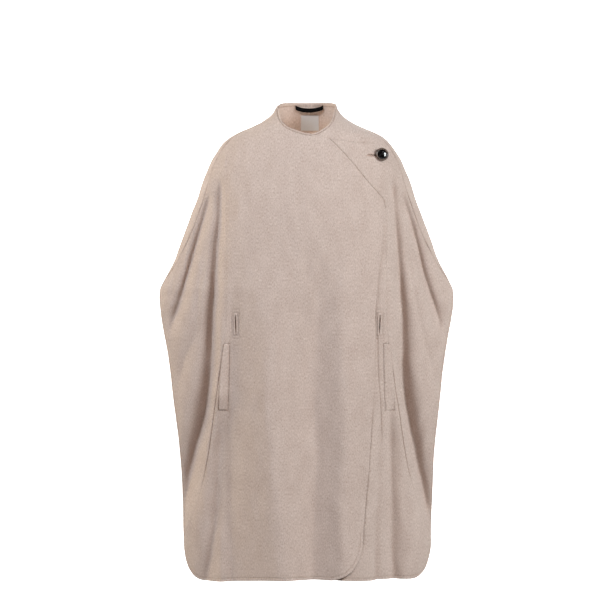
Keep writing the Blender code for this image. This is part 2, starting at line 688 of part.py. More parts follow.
def side_and_corner(side, start, hem, from_back=False):
    """Follow an open side edge down and round its corner onto the hem."""
    flip = -1.0 if from_back else 1.0
    arc = flip * side * arc_of_angle(0.5 * math.pi, hem + SIDE_CORNER, from_back)[0]
    inward = -math.copysign(1.0, arc)
    corner = round_corner((arc, hem), (0.0, 1.0), (inward, 0.0), SIDE_CORNER)
    return join_open(side_line(side, start, hem + SIDE_CORNER, from_back), corner)


def neck_meeting():
    """Return the height at which the overarm seams meet the neckline."""
    return follow(NECKLINE, 1, np.array([NECK_ANGLE]))[0]


def make_lapped_front(material):
    """Cut the wearer's right front, which laps over to the left princess seam."""
    lap_x = follow(LAP_EDGE, 1, np.array([HEM + LAP_CORNER]))[0]
    lap_edge = [(x, h) for h, x in LAP_EDGE if h > HEM + LAP_CORNER]
    lap_edge.append((lap_x, HEM + LAP_CORNER))
    lap_arc = arc_of_x(lap_x, HEM + LAP_CORNER)[0]
    side = side_and_corner(-1.0, princess_ends()[1], HEM)
    outline = join(
        overarm_line(-1.0, neck_meeting(), princess_ends()[0]),
        princess_line(-1.0),
        side,
        level_line(side[-1][0], lap_arc - LAP_CORNER, HEM),
        round_corner((lap_arc, HEM), (-1.0, 0.0), (0.0, 1.0), LAP_CORNER),
        front_line(lap_edge)[::-1],
        front_line(DIAGONAL)[::-1],
        front_line(LAP_TOP, step=0.5 * EDGE_STEP)[::-1],
        neck_line(-1.0, 0.0, NECK_ANGLE),
    )
    slit = slot(front_point(-SLIT_AT[0], SLIT_AT[1]), *SLIT_SIZE)
    cut_piece("front_lapped", outline, material, lapped=True, holes=[slit])


def make_under_front(material):
    """Cut the wearer's left front, which the lapped front partly covers."""
    side = side_and_corner(1.0, princess_ends()[1], UNDER_HEM)
    edge_arc = arc_of_x(UNDER_EDGE, UNDER_HEM)[0]
    outline = join(
        overarm_line(1.0, neck_meeting(), princess_ends()[0]),
        princess_line(1.0),
        side,
        level_line(side[-1][0], edge_arc, UNDER_HEM),
        front_line([(UNDER_EDGE, UNDER_HEM), (UNDER_EDGE, UNDER_TOP[-1][1])]),
        front_line(UNDER_TOP, step=0.5 * EDGE_STEP)[::-1],
        neck_line(1.0, UNDER_NECK_START, NECK_ANGLE),
    )
    slit = slot(front_point(*SLIT_AT), *SLIT_SIZE)
    cut_piece("front_under", outline, material, holes=[slit])


def make_shoulder_tab(material):
    """Cut the raglan tab that closes on the wearer's left shoulder."""
    outline = join(
        front_line(TAB_TOP, step=FINE_STEP),
        front_line(TAB_SIDE, step=FINE_STEP),
        front_line(DIAGONAL)[::-1],
    )
    start, end = (front_point(x, BUTTON_AT[1]) for x in BUTTONHOLE_ENDS)
    hole = slot(0.5 * (start + end), BUTTONHOLE_WIDTH, end[0] - start[0], upright=False)
    cut_piece("shoulder_tab", outline, material, lapped=True, holes=[hole])


def make_side_front(name, side, material):
    """Cut the side front between a princess seam and an overarm seam."""
    top, end = princess_ends()
    outline = join(
        trim(join_open(overarm_line(side, top, ELBOW), side_line(side, ELBOW, end))),
        trim(princess_line(side))[::-1],
    )
    cut_piece(name, outline, material)


def make_back(name, side, material):
    """Cut one half of the back, from the centre seam round to the overarm seam."""
    corner = side_and_corner(side, ELBOW, HEM, True)
    neck_height = NECKLINE[-1][1]
    low = heights_between(HEM, BACK_SEAM_BEND)
    high = heights_between(BACK_SEAM_BEND, neck_height)
    heights = np.concatenate([low, high[1:]])
    seam_x = follow(CENTRE_BACK, 1, heights)
    seam = np.stack([arc_of_x(seam_x, heights, True), heights], axis=1)
    neck_turn = math.degrees(math.asin(seam_x[-1] / follow(RINGS, 1, heights)[-1]))
    outline = join(
        neck_line(side, 180.0 - side * neck_turn, NECK_ANGLE, True),
        overarm_line(side, neck_meeting(), ELBOW, True),
        corner,
        level_line(corner[-1][0], seam[0][0], HEM),
        seam,
    )
    cut_piece(name, outline, material, from_back=True)


def make_pocket_welt(name, side, material):
    """Lay a pocket welt on a front, beside its princess seam."""
    inner = front_line(WELT_INNER, side)
    outer = front_line(WELT_OUTER, side)
    outline = join(inner, outer[::-1])
    cut_piece(name, outline, material, raised=LIE_GAP + WELT_THICKNESS, wall=WELT_THICKNESS)


def make_slit_binding(name, side, material):
    """Lay the bound frame of a belt slit on a front."""
    centre = front_point(side * SLIT_AT[0], SLIT_AT[1])
    outline = frame_outline(centre, *BINDING_SIZE)
    cut_piece(name, outline, material, raised=LIE_GAP + BINDING_THICKNESS,
              wall=BINDING_THICKNESS, holes=[slot(centre, *SLIT_SIZE)])


def make_label(material):
    """Lay the bare woven label inside the back of the neck."""
    low, high = LABEL_HEIGHTS[0], LABEL_HEIGHTS[-1]
    outline = join(
        np.array([(arc, low) for arc in LABEL_ARCS]),
        np.array([(LABEL_ARCS[-1], height) for height in LABEL_HEIGHTS]),
        np.array([(arc, high) for arc in reversed(LABEL_ARCS)]),
        np.array([(LABEL_ARCS[0], height) for height in reversed(LABEL_HEIGHTS)]),
    )
    cut_piece("label", outline, material, from_back=True, raised=-WALL - LABEL_GAP,
              wall=LABEL_THICKNESS)


def make_hanging_loop(material):
    """Sweep the tape of the hanging loop along the inside of the back neck."""
    share = np.linspace(0.0, 1.0, LOOP_POINTS)
    arch = np.sin(math.pi * share)
    x = LOOP_AT[0] + LOOP_SPAN * (share - 0.5)
    heights = LOOP_AT[1] - LOOP_SAG * arch
    pattern = np.stack([arc_of_x(x, heights, True), heights], axis=1)
    normals = drape_normals(pattern, True)
    depth = WALL + LOOP_GAP + LOOP_STAND_OFF * arch
    near = drape(pattern, True) - normals * depth[:, None]
    far = near - normals * LOOP_TAPE[1]
    rise = np.array([0.0, 0.0, 0.5 * LOOP_TAPE[0]])
    rings = np.stack([near - rise, near + rise, far + rise, far - rise], axis=1)
    close_rings("hanging_loop", rings, material)


def close_rings(name, rings, material):
    """Skin a row of equal rings of points and close both ends."""
    count, sides = rings.shape[:2]
    faces = [tuple(range(sides))]
    for k in range(count - 1):
        for j in range(sides):
            ahead = (j + 1) % sides
            faces.append((k * sides + ahead, k * sides + j, (k + 1) * sides + j,
                          (k + 1) * sides + ahead))
    faces.append(tuple(reversed(range((count - 1) * sides, count * sides))))
    mesh = bpy.data.meshes.new(name)
    mesh.from_pydata([tuple(p) for p in rings.reshape(-1, 3)], [], faces)
    made = bmesh.new()
    made.from_mesh(mesh)
    bmesh.ops.recalc_face_normals(made, faces=made.faces)
    made.to_mesh(mesh)
    made.free()
    add_object(name, mesh, material)


def circle_round(centre, axis, radius):
    """Return a ring of points round an axis."""
    side = np.cross(axis, (0.0, 0.0, 1.0))
    side /= np.linalg.norm(side)
    up = np.cross(side, axis)
    turns = np.linspace(0.0, 2.0 * math.pi, ROUND_SIDES, endpoint=False)[:, None]
    return centre + radius * (np.cos(turns) * side + np.sin(turns) * up)


def make_button(material):
    """Turn the button and its thread shank, which passes through the buttonhole."""
    pattern = front_point(*BUTTON_AT)[None, :]
    cloth = drape(pattern, False)[0]
    normal = drape_normals(pattern, False)[0]
    axis = (1.0 - BUTTON_TURN) * normal + BUTTON_TURN * np.array([0.0, -1.0, 0.0])
    axis /= np.linalg.norm(axis)
    tilt = math.acos(float(np.dot(axis, normal)))
    back = cloth + normal * (LAP_LIFT + SEAM_GAP + BUTTON_RADIUS * math.sin(tilt))
    rings = [circle_round(cloth + normal * SEAM_GAP, normal, SHANK_RADIUS),
             circle_round(cloth + normal * (LAP_LIFT + SEAM_GAP), normal, SHANK_RADIUS),
             circle_round(back, axis, SHANK_RADIUS)]
    rings += [circle_round(back + axis * h, axis, r) for r, h in BUTTON_PROFILE]
    rings.append(circle_round(back + axis * BUTTON_CROWN, axis, SHANK_RADIUS))
    close_rings("button", np.array(rings), material)


def wool(piece):
    """Make the wool material of one piece."""
    return make_material(f"wool {piece}", WOOL, 0.92, sheen=0.25)


def main():
    """Make every piece."""
    clear_scene()
    make_lapped_front(wool("lapped front"))
    make_under_front(wool("under front"))
    make_shoulder_tab(wool("shoulder tab"))
    for hand, side in (("right", -1.0), ("left", 1.0)):
        make_side_front(f"side_front_{hand}", side, wool(f"side front {hand}"))
        make_back(f"back_{hand}", side, wool(f"back {hand}"))
        make_pocket_welt(f"pocket_welt_{hand}", side, wool(f"pocket welt {hand}"))
        make_slit_binding(f"slit_binding_{hand}", side, wool(f"slit binding {hand}"))
    make_button(make_material("horn", HORN, 0.25))
    make_hanging_loop(make_material("black tape", LOOP_BLACK, 0.7))
    make_label(make_material("grey satin", SATIN, 0.45))


main()
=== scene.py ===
"""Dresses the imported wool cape: its cloth, seams, stitching, button, loop and label."""
import math

import bpy
import numpy as np
from mathutils import Matrix, Vector
from mathutils.geometry import delaunay_2d_cdt


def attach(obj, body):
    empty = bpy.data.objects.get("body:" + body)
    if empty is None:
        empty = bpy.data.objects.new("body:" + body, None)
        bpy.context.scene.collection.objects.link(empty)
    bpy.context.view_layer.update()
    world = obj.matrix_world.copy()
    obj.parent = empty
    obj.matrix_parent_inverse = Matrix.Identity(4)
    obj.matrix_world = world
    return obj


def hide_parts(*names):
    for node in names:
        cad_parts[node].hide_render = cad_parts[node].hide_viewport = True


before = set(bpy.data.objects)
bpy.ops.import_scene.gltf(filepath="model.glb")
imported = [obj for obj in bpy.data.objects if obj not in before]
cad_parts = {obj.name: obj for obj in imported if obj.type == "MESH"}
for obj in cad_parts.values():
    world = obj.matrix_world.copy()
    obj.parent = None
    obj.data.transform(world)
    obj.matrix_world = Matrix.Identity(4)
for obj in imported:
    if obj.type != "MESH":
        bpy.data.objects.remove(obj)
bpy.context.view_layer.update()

bpy.ops.object.select_all(action="DESELECT")

# ---------------------------------------------------------------------------------
# Lapped front: the wearer's right front, which laps over to the left princess seam.
# It is cut from double-faced wool coating, a soft cloth with a short brushed nap, and
# hangs in the folds that its flared cut gives it.  Seams are pressed open inside.

WALL = 0.0026               # double-faced wool coating
SEAM_GAP = 0.00004          # between two pieces at a seam, closed by the stitches
HEM = -1.076                # heights are measured from the wearer's shoulders
ELBOW = -0.397              # end of the overarm seams: the sides are open below it
NECK_ANGLE = 78.0           # where the overarm seams meet the neckline, in degrees


def smooth_step(value, low, high):
    """Rise from 0 at low to 1 at high."""
    t = np.clip((value - low) / (high - low), 0.0, 1.0)
    return t * t * (3.0 - 2.0 * t)


def follow(rows, column, at):
    """Read a column of a table at heights by a smooth curve through its rows."""
    order = sorted(rows, key=lambda row: row[0])
    keys = np.array([row[0] for row in order])
    values = np.array([row[column] for row in order])
    widths = np.diff(keys)
    slopes = np.diff(values) / widths
    rising = slopes[:-1] * slopes[1:] > 0.0
    total = np.where(rising, slopes[:-1] + slopes[1:], 1.0)
    between = np.where(rising, 2.0 * slopes[:-1] * slopes[1:] / total, 0.0)
    tangents = np.concatenate([slopes[:1], between, slopes[-1:]])
    at = np.clip(at, keys[0], keys[-1])
    cell = np.clip(np.searchsorted(keys, at) - 1, 0, len(widths) - 1)
    width = widths[cell]
    t = (at - keys[cell]) / width
    rest = 1.0 - t
    start = (values[cell] * (1.0 + 2.0 * t) + tangents[cell] * width * t) * rest * rest
    end = (values[cell + 1] * (3.0 - 2.0 * t) - tangents[cell + 1] * width * rest) * t * t
    return start + end


def metres(folds):
    """Turn the rows of some named folds from millimetres into metres."""
    return {name: [tuple(v / 1000.0 for v in row) for row in rows]
            for name, rows in folds.items()}


# Sharp flutes of the front, in millimetres from the top down:
# height, x, depth, width on the inner and on the outer side
FRONT_FLUTES = metres({
    "right inner flute": [
        (-105, -207.6, 0, 13.7, 13.8), (-150, -208.2, 17, 13.7, 13.8),
        (-183, -208.2, 22, 13.7, 16.1), (-251, -213, 27, 13.7, 16.1),
        (-318, -217.8, 32, 13.7, 17.2), (-385, -222.7, 38, 15, 18.4),
        (-453, -227.5, 41, 15, 18.4), (-554, -229.9, 40, 15, 20.7),
        (-621, -237.1, 45, 15, 20.7), (-688, -249.2, 50, 18.5, 20.7),
        (-756, -268.4, 50, 23, 21.5), (-823, -282.4, 46, 25, 21.5), (-862, -289, 36, 25, 20),
        (-900, -295, 20, 24, 19), (-950, -301, 0, 24, 19)],
    "right outer flute": [
        (-145, -234, 0, 10.3, 9.2), (-183, -242.9, 14, 10.3, 9.2),
        (-251, -262.2, 21, 10.3, 10.3), (-318, -281.5, 25, 12.6, 10.3),
        (-385, -300.7, 28, 13.8, 12.6), (-419, -310.4, 25, 16.1, 12.6),
        (-453, -322.4, 19, 16.1, 12.6), (-500, -332, 0, 16.1, 12.6)],
    "right low flute": [
        (-640, -208.5, 0, 20, 18.7), (-688, -209, 13, 20, 18.7), (-756, -210, 26, 20.5, 20.5),
        (-823, -212.5, 29, 21, 21.5), (-862, -213.5, 34, 21.5, 22), (-924, -219, 33, 22.5, 23),
        (-992, -227.5, 27, 23.8, 23.8), (-1080, -243, 28, 26.3, 26.3)],
    "right crease": [
        (-250, -243, 0, 10, 10), (-318, -249, 6, 10, 10), (-385, -261.4, 6, 10, 12),
        (-486, -270, 10, 16, 16), (-554, -295, 10, 18, 18), (-650, -320, 0, 18, 18)],
    "right edge crease": [
        (-240, -283, 0, 8, 8), (-318, -309.6, 5, 8, 8), (-385, -331.2, 5, 8, 8),
        (-430, -342, 0, 8, 8)],
    "left inner flute": [
        (-100, 209, 0, 13.7, 15.6), (-150, 209.4, 19, 13.7, 15.6),
        (-183, 211.8, 23, 13.7, 18.2), (-251, 216.6, 28, 13.7, 18.2),
        (-318, 221.4, 33, 13.7, 19.5), (-385, 226.3, 40, 15, 20.8), (-453, 231.1, 41, 15, 20.8),
        (-554, 231.9, 46, 16.7, 23.4), (-621, 236.6, 56, 18.7, 23.4),
        (-688, 246.7, 57, 18.7, 23.4), (-756, 258.8, 56, 23, 24), (-823, 270.8, 55, 26, 24.5),
        (-862, 278, 53, 26, 24.5), (-900, 286.4, 46, 26, 24), (-939, 293, 26, 26, 23),
        (-990, 300, 0, 26, 22)],
    "left outer flute": [
        (-145, 234, 0, 12.1, 10.8), (-183, 242.9, 16, 12.1, 10.8),
        (-251, 262.2, 24, 12.1, 12.1), (-318, 279.1, 29, 14.9, 12.1),
        (-385, 298.3, 31, 16.2, 14.9), (-419, 310.4, 30, 18.9, 14.9),
        (-453, 320, 24, 18.9, 14.9), (-510, 332, 0, 18.9, 14.9)],
    "left low flute": [
        (-620, 203, 0, 19, 20), (-688, 201.5, 14, 19, 22), (-746, 201, 28, 20.5, 24.5),
        (-800, 201.5, 33, 21.5, 28), (-900, 202.5, 37, 22.5, 33), (-977, 203, 40, 23.5, 34),
        (-1035, 205, 41, 24.5, 34), (-1080, 208, 41, 25.5, 34)],
    "left crease": [
        (-250, 242, 0, 10, 10), (-318, 249.3, 6, 10, 10), (-419, 266.2, 6, 10, 12),
        (-500, 285, 8, 16, 16), (-587, 309.6, 6, 18, 18), (-650, 322, 0, 18, 18)],
    "left edge crease": [
        (-250, 286, 0, 8, 8), (-318, 307.2, 5, 8, 8), (-385, 331.2, 5, 8, 8),
        (-430, 342, 0, 8, 8)],
    "left under flute": [
        (-640, 176, 0, 12, 12), (-722, 175, 9, 12, 12.5), (-823, 172.2, 13, 12.5, 14.5),
        (-924, 166.5, 15, 13, 16.5), (-1080, 161, 17, 13, 17.5)],
})

# Soft folds of the front, likewise; a ridge has a depth below zero
FRONT_FOLDS = metres({
    "right front ridge": [
        (-160, -196, 0, 28, 22), (-280, -201, -4, 28, 22), (-450, -208, -6, 28, 22),
        (-690, -225, -6, 28, 22), (-900, -290, 0, 36, 30)],
    "left front ridge": [
        (-160, 196, 0, 28, 22), (-280, 204, -3, 28, 22), (-450, 211, -5, 28, 22),
        (-690, 229, -6, 28, 22), (-900, 280, 0, 36, 30)],
    "right thigh trough": [
        (-320, -178, 0, 75, 30), (-420, -178, 8, 78, 30), (-530, -178, 17.5, 88, 30),
        (-655, -181, 23.5, 87, 30), (-780, -181.5, 26, 98, 30), (-890, -181.5, 26, 110, 30),
        (-1020, -179, 25, 120, 30), (-1090, -178, 25, 122, 30)],
    "right thigh ridge": [
        (-300, -115, 0, 120, 75), (-410, -103, -9, 120, 75), (-530, -90, -18, 112, 88),
        (-655, -93.5, -22.5, 110, 87), (-780, -83, -23, 106, 98), (-890, -71.5, -23, 92, 110),
        (-1020, -55, -22, 74, 120), (-1090, -52, -21.5, 70, 122)],
    "lap trough": [
        (-280, 40, 0, 100, 52), (-410, 33, 12, 110, 54), (-530, 23, 20.5, 112, 62),
        (-655, 18, 24, 110, 70), (-780, 23, 25.5, 106, 70), (-890, 20, 26, 92, 63),
        (-1020, 18, 26, 74, 70), (-1090, 17, 25.5, 70, 70)],
    "lap ridge": [
        (-300, 92, 0, 52, 70), (-410, 89, -6.5, 54, 75), (-530, 86, -13.5, 62, 78),
        (-655, 89, -16.5, 70, 75), (-780, 94.5, -17.5, 70, 72), (-890, 84.5, -18.5, 63, 75),
        (-1020, 88.5, -18.5, 70, 70), (-1090, 88, -18.5, 70, 70)],
})

# Sharp flutes of the back, likewise
BACK_FLUTES = metres({
    "right inner flute": [
        (-160, -168, 0, 12, 16), (-380, -178, 14, 13, 17), (-640, -170, 28, 14, 19),
        (-860, -160, 28, 17, 22), (-1080, -158, 29, 19, 26)],
    "right outer flute": [
        (-150, -234, 0, 10, 13), (-300, -272, 17, 12, 14), (-430, -298, 28, 13, 16),
        (-600, -288, 29, 14, 17), (-820, -262, 22, 16, 18), (-1080, -236, 18, 18, 21)],
    "left inner flute": [
        (-180, 160, 0, 12, 16), (-400, 166, 15, 13, 17), (-640, 164, 26, 14, 19),
        (-860, 170, 30, 17, 22), (-1080, 176, 30, 19, 26)],
    "left outer flute": [
        (-160, 240, 0, 10, 13), (-310, 276, 18, 12, 14), (-430, 302, 26, 13, 16),
        (-620, 284, 28, 14, 17), (-840, 256, 23, 16, 18), (-1080, 240, 17, 18, 21)],
})

# Soft folds of the back, likewise
BACK_FOLDS = metres({
    "left back trough": [
        (-300, 52, 0, 60, 60), (-620, 60, 8, 70, 66), (-1090, 66, 12, 78, 70)],
    "right back ridge": [
        (-360, -30, 0, 70, 66), (-700, -20, -8, 78, 70), (-1090, -14, -12, 80, 76)],
    "right back trough": [
        (-340, -100, 0, 66, 50), (-700, -96, 7, 72, 56), (-1090, -92, 10, 78, 60)],
})
FLUTE_ROUND = 0.22          # how round the bottom of a flute is, as a share of its width
FOLD_ROUND = 0.13           # how round the ridge or the bottom of a soft fold is, likewise


def fold_depth(folds, flutes, x, height):
    """Add up how far the folds and the flutes push the cloth in at each point."""
    depth = np.zeros_like(x)
    for rows, sharp in [(r, False) for r in folds.values()] + [(r, True) for r in flutes.values()]:
        here = np.nonzero((height >= rows[-1][0]) & (height <= rows[0][0]))[0]
        level = height[here]
        away = (x[here] - follow(rows, 1, level)) * math.copysign(1.0, rows[0][1])
        away /= np.where(away > 0.0, follow(rows, 4, level), follow(rows, 3, level))
        if sharp:
            shape = np.exp(FLUTE_ROUND - np.sqrt(away ** 2 + FLUTE_ROUND ** 2))
        else:
            left = 1.0 - np.sqrt(away ** 2 + FOLD_ROUND ** 2)
            shape = 0.5 * (left + np.sqrt(left ** 2 + FOLD_ROUND ** 2))
        depth[here] += follow(rows, 2, level) * shape
    return depth


# Level rings of the drape:
# height, half width, front depth, back depth, fullness, roundness, open side
RINGS = [
    (0.084, 0.062, 0.057, 0.059, 2.0, 2.0, 0.0),
    (0.075, 0.064, 0.058, 0.060, 2.0, 2.0, 0.0),
    (0.060, 0.074, 0.061, 0.063, 2.0, 2.0, 0.0),
    (0.045, 0.085, 0.065, 0.067, 2.0, 2.0, 0.0),
    (0.030, 0.104, 0.070, 0.073, 2.0, 2.0, 0.0),
    (0.015, 0.131, 0.076, 0.082, 2.1, 2.0, 0.0),
    (0.000, 0.168, 0.083, 0.092, 2.2, 2.0, 0.0),
    (-0.015, 0.1925, 0.089, 0.100, 2.3, 2.0, 0.0),
    (-0.030, 0.2075, 0.094, 0.106, 2.3, 1.95, 0.0),
    (-0.045, 0.218, 0.098, 0.110, 2.4, 1.9, 0.0),
    (-0.070, 0.233, 0.105, 0.116, 2.4, 1.8, 0.0),
    (-0.115, 0.252, 0.115, 0.121, 2.4, 1.7, 0.0),
    (-0.165, 0.2685, 0.124, 0.125, 2.4, 1.6, 0.0),
    (-0.240, 0.297, 0.131, 0.127, 2.5, 1.45, 0.0),
    (-0.310, 0.323, 0.134, 0.127, 2.6, 1.3, 0.0),
    (-0.360, 0.348, 0.135, 0.127, 2.6, 1.22, 0.0),
    (-0.385, 0.360, 0.135, 0.127, 2.7, 1.18, 0.0),
    (ELBOW, 0.3612, 0.135, 0.127, 2.7, 1.16, 0.0),
    (-0.412, 0.3605, 0.135, 0.127, 2.7, 1.15, 0.005),
    (-0.460, 0.354, 0.134, 0.127, 2.8, 1.12, 0.012),
    (-0.535, 0.340, 0.134, 0.127, 2.8, 1.1, 0.020),
    (-0.655, 0.325, 0.134, 0.128, 2.9, 1.1, 0.026),
    (-0.800, 0.308, 0.136, 0.131, 3.0, 1.1, 0.028),
    (-0.950, 0.301, 0.139, 0.135, 3.1, 1.1, 0.026),
    (-1.080, 0.297, 0.142, 0.139, 3.2, 1.1, 0.022),
]
SEAM_CALM = (0.20, 0.46)    # folds fade out between these cosines at a closed side,
CALM_RUN = 0.060            # fully from the elbow up, and not at all this far below it


def ring_point(angle, height):
    """Return the drape's outer point at an angle from the front centre line."""
    half, front, back, full, roundness, gap = (follow(RINGS, k, height) for k in range(1, 7))
    x = half * np.sin(angle)
    facing = np.cos(angle)
    bulge = np.clip(1.0 - np.abs(np.sin(angle)) ** full, 0.0, 1.0) ** (1.0 / roundness)
    closed = smooth_step(height, ELBOW - CALM_RUN, ELBOW)
    strength = 1.0 - closed * (1.0 - smooth_step(np.abs(facing), *SEAM_CALM))
    front_folds = strength * fold_depth(FRONT_FOLDS, FRONT_FLUTES, x, height)
    back_folds = strength * fold_depth(BACK_FOLDS, BACK_FLUTES, x, height)
    front_y = -gap - (front - gap) * bulge + front_folds
    back_y = gap + (back - gap) * bulge - back_folds
    return np.stack([x, np.where(facing >= 0.0, front_y, back_y), height], axis=-1)


ARC_SAMPLES = 121           # points of a ring, from the front to the back


def measure_arcs(from_back):
    """Measure the arcs of the unfolded rings at every millimetre of height."""
    half, front, back, full, roundness = (follow(RINGS, k, ARC_HEIGHTS)[:, None]
                                          for k in range(1, 6))
    sine = np.sin(ARC_ANGLES)[None, :]
    bulge = np.clip(1.0 - sine ** full, 0.0, 1.0) ** (1.0 / roundness)
    near, far = (back, front) if from_back else (front, back)
    depth = np.where(np.cos(ARC_ANGLES) >= 0.0, near, -far) * bulge
    steps = np.hypot(np.diff(half * sine, axis=1), np.diff(depth, axis=1))
    return np.concatenate([np.zeros((len(ARC_HEIGHTS), 1)), np.cumsum(steps, axis=1)], axis=1)


ARC_ANGLES = np.linspace(0.0, math.pi, ARC_SAMPLES)
ARC_HEIGHTS = np.arange(-1.096, 0.097, 0.001)    # from below the hem to above the neck
ARCS = {False: measure_arcs(False), True: measure_arcs(True)}


def plain_arcs(height, from_back):
    """Return the arc lengths along the unfolded ring at each height."""
    at = (height - ARC_HEIGHTS[0]) / (ARC_HEIGHTS[1] - ARC_HEIGHTS[0])
    at = np.clip(at, 0.0, len(ARC_HEIGHTS) - 1.001)
    row = at.astype(int)
    share = (at - row)[:, None]
    return ARCS[from_back][row] * (1.0 - share) + ARCS[from_back][row + 1] * share


def angle_of_arc(arc, height, from_back):
    """Find the angle from the front or back centre at which an arc length is reached."""
    lengths = plain_arcs(height, from_back)
    wanted = np.abs(arc)
    cell = np.clip((lengths < wanted[:, None]).sum(axis=1) - 1, 0, ARC_SAMPLES - 2)
    rows = np.arange(len(cell))
    near, far = lengths[rows, cell], lengths[rows, cell + 1]
    share = np.clip((wanted - near) / (far - near), 0.0, 1.0)
    return np.sign(arc) * (cell + share) * (ARC_ANGLES[1] - ARC_ANGLES[0])


def arc_of_angle(angle, height, from_back=False):
    """Return the arc length from the front or back centre to an angle."""
    angle = np.atleast_1d(np.asarray(angle, dtype=float))
    height = np.atleast_1d(np.asarray(height, dtype=float))
    lengths = plain_arcs(height, from_back)
    at = np.clip(np.abs(angle) / (ARC_ANGLES[1] - ARC_ANGLES[0]), 0.0, ARC_SAMPLES - 1.001)
    cell = at.astype(int)
    rows = np.arange(len(cell))
    share = at - cell
    return np.sign(angle) * (lengths[rows, cell] * (1.0 - share)
                             + lengths[rows, cell + 1] * share)


def arc_of_x(x, height, from_back=False):
    """Return the arc length to the point of a ring that lies at x."""
    angle = np.arcsin(np.clip(x / follow(RINGS, 1, height), -1.0, 1.0))
    return arc_of_angle(-angle if from_back else angle, height, from_back)


HEM_FALL = (0.0045, 0.0140) # how far the hem sinks at the middle and at the sides
FALL_ACROSS = (0.060, 0.250)    # from the one to the other between these x
FALL_RUN = (0.700, 1.076)   # the fall comes in between these depths
NECK_SPREAD = 0.0065        # the left end of the neck's top edge stands out,
NECK_RUNS = ((0.020, 0.060), (0.045, 0.078))    # between these x and these heights
LEFT_SPREAD = 0.0048        # and so does the left side low down,
LEFT_RUNS = ((0.120, 0.280), (0.600, 0.900))    # between these x and these depths
OPEN_GAP = 0.003            # front and back this far apart at the side are quite free
EDGE_TAIL = (1e-5, 2e-3)    # a free side runs straight on the way it heads between these


def drape(pattern, from_back):
    """Lay pattern points (arc, height) on the drape's outer side."""
    arc = pattern[:, 0]
    height = pattern[:, 1]
    end = arc_of_angle(np.full(len(height), 0.5 * math.pi), height, from_back)
    open_side = smooth_step(follow(RINGS, 6, height), 0.0, OPEN_GAP)
    turn = math.pi if from_back else 0.0

    def at_arc(length):
        """Return the ring's points at arc lengths."""
        return ring_point(turn + angle_of_arc(length, height, from_back), height)

    around = at_arc(arc)
    excess = np.maximum(np.abs(arc) - end, 0.0)
    at_edge = at_arc(np.sign(arc) * (end - EDGE_TAIL[0]))
    heading = at_edge - at_arc(np.sign(arc) * (end - EDGE_TAIL[1]))
    heading /= np.linalg.norm(heading, axis=1)[:, None] + 1e-12
    straight = at_edge + heading * excess[:, None]
    weight = np.where(excess > 0.0, open_side, 0.0)[:, None]
    laid = around * (1.0 - weight) + straight * weight
    middle_fall, side_fall = HEM_FALL
    aside = smooth_step(np.abs(laid[:, 0]), *FALL_ACROSS)
    fall = middle_fall + (side_fall - middle_fall) * aside
    laid[:, 2] -= fall * smooth_step(-height, *FALL_RUN)
    laid[:, 0] += (NECK_SPREAD * smooth_step(laid[:, 0], *NECK_RUNS[0])
                   * smooth_step(height, *NECK_RUNS[1]))
    laid[:, 0] += (LEFT_SPREAD * smooth_step(laid[:, 0], *LEFT_RUNS[0])
                   * smooth_step(-height, *LEFT_RUNS[1]))
    return laid


NORMAL_REACH = 0.0040       # a slope is measured over this reach


def drape_normals(pattern, from_back):
    """Return the drape's outward directions at pattern points."""
    aside = (NORMAL_REACH, 0.0)
    above = (0.0, NORMAL_REACH)
    across = drape(pattern + aside, from_back) - drape(pattern - aside, from_back)
    up = drape(pattern + above, from_back) - drape(pattern - above, from_back)
    normals = np.cross(across, up)
    return normals / (np.linalg.norm(normals, axis=1)[:, None] + 1e-12)


# Free edge of the lapped front, down from the foot of the shoulder tab: height, x
LAP_EDGE = [
    (-0.188, 0.1895), (-0.254, 0.1835), (-0.304, 0.1785), (-0.357, 0.1720),
    (-0.410, 0.1675), (-0.450, 0.1640), (-0.513, 0.1640), (-0.573, 0.1625),
    (-0.637, 0.1590), (-0.697, 0.1555), (-0.803, 0.1485), (-0.879, 0.1415),
    (-0.949, 0.1355), (-1.076, 0.1280),
]
LAP_LIFT = WALL + 0.0008    # the lapped front lies on the under front
UNDER_EDGE = -0.030         # hidden free edge of the under front
LAP_RISE = (UNDER_EDGE - 0.090, UNDER_EDGE - 0.020)    # the lift rises between these x
LAP_FLARE = (0.0060, 0.090) # the lap's edge stands off by this much more, over this width,
FLARE_RUN = (0.940, 1.060)  # coming in between these depths


def lap_lift(pattern):
    """Stand off where the lapped front covers the under front, more at its free corner."""
    x = drape(pattern, False)[:, 0]
    edge = follow(LAP_EDGE, 1, pattern[:, 1])
    flare = smooth_step(x, edge - LAP_FLARE[1], edge) * smooth_step(-pattern[:, 1], *FLARE_RUN)
    return LAP_LIFT * smooth_step(x, *LAP_RISE) + LAP_FLARE[0] * flare


# Slow unevenness of hand-pressed cloth: size across, size along, turn, depth
PRESSED = [
    (0.062, 0.190, 0.3, 0.00045), (0.041, 0.110, 1.9, 0.00025),
    (0.033, 0.240, 4.1, 0.00030), (0.093, 0.071, 2.6, 0.00025),
    (0.027, 0.052, 5.2, 0.00012),
]
PRESSED_SWING = (1.3, 2.3)  # how far its waves wander, and over how many lengths


def pressed(pattern):
    """Return the slow unevenness of the cloth."""
    level = np.zeros(len(pattern))
    for across, along, turn, depth in PRESSED:
        swing = PRESSED_SWING[0] * np.sin(
            2.0 * math.pi * pattern[:, 1] / (PRESSED_SWING[1] * along) + turn)
        wave = np.sin(2.0 * math.pi * pattern[:, 0] / across + swing + turn)
        level += depth * wave * np.cos(2.0 * math.pi * pattern[:, 1] / along + 2.0 * turn)
    return level


STEP = 0.0050               # between the points of an outline


def walked(line):
    """Return the distance walked along a line at each of its points."""
    steps = np.linalg.norm(np.diff(line, axis=0), axis=1)
    return np.concatenate([[0.0], np.cumsum(steps)])


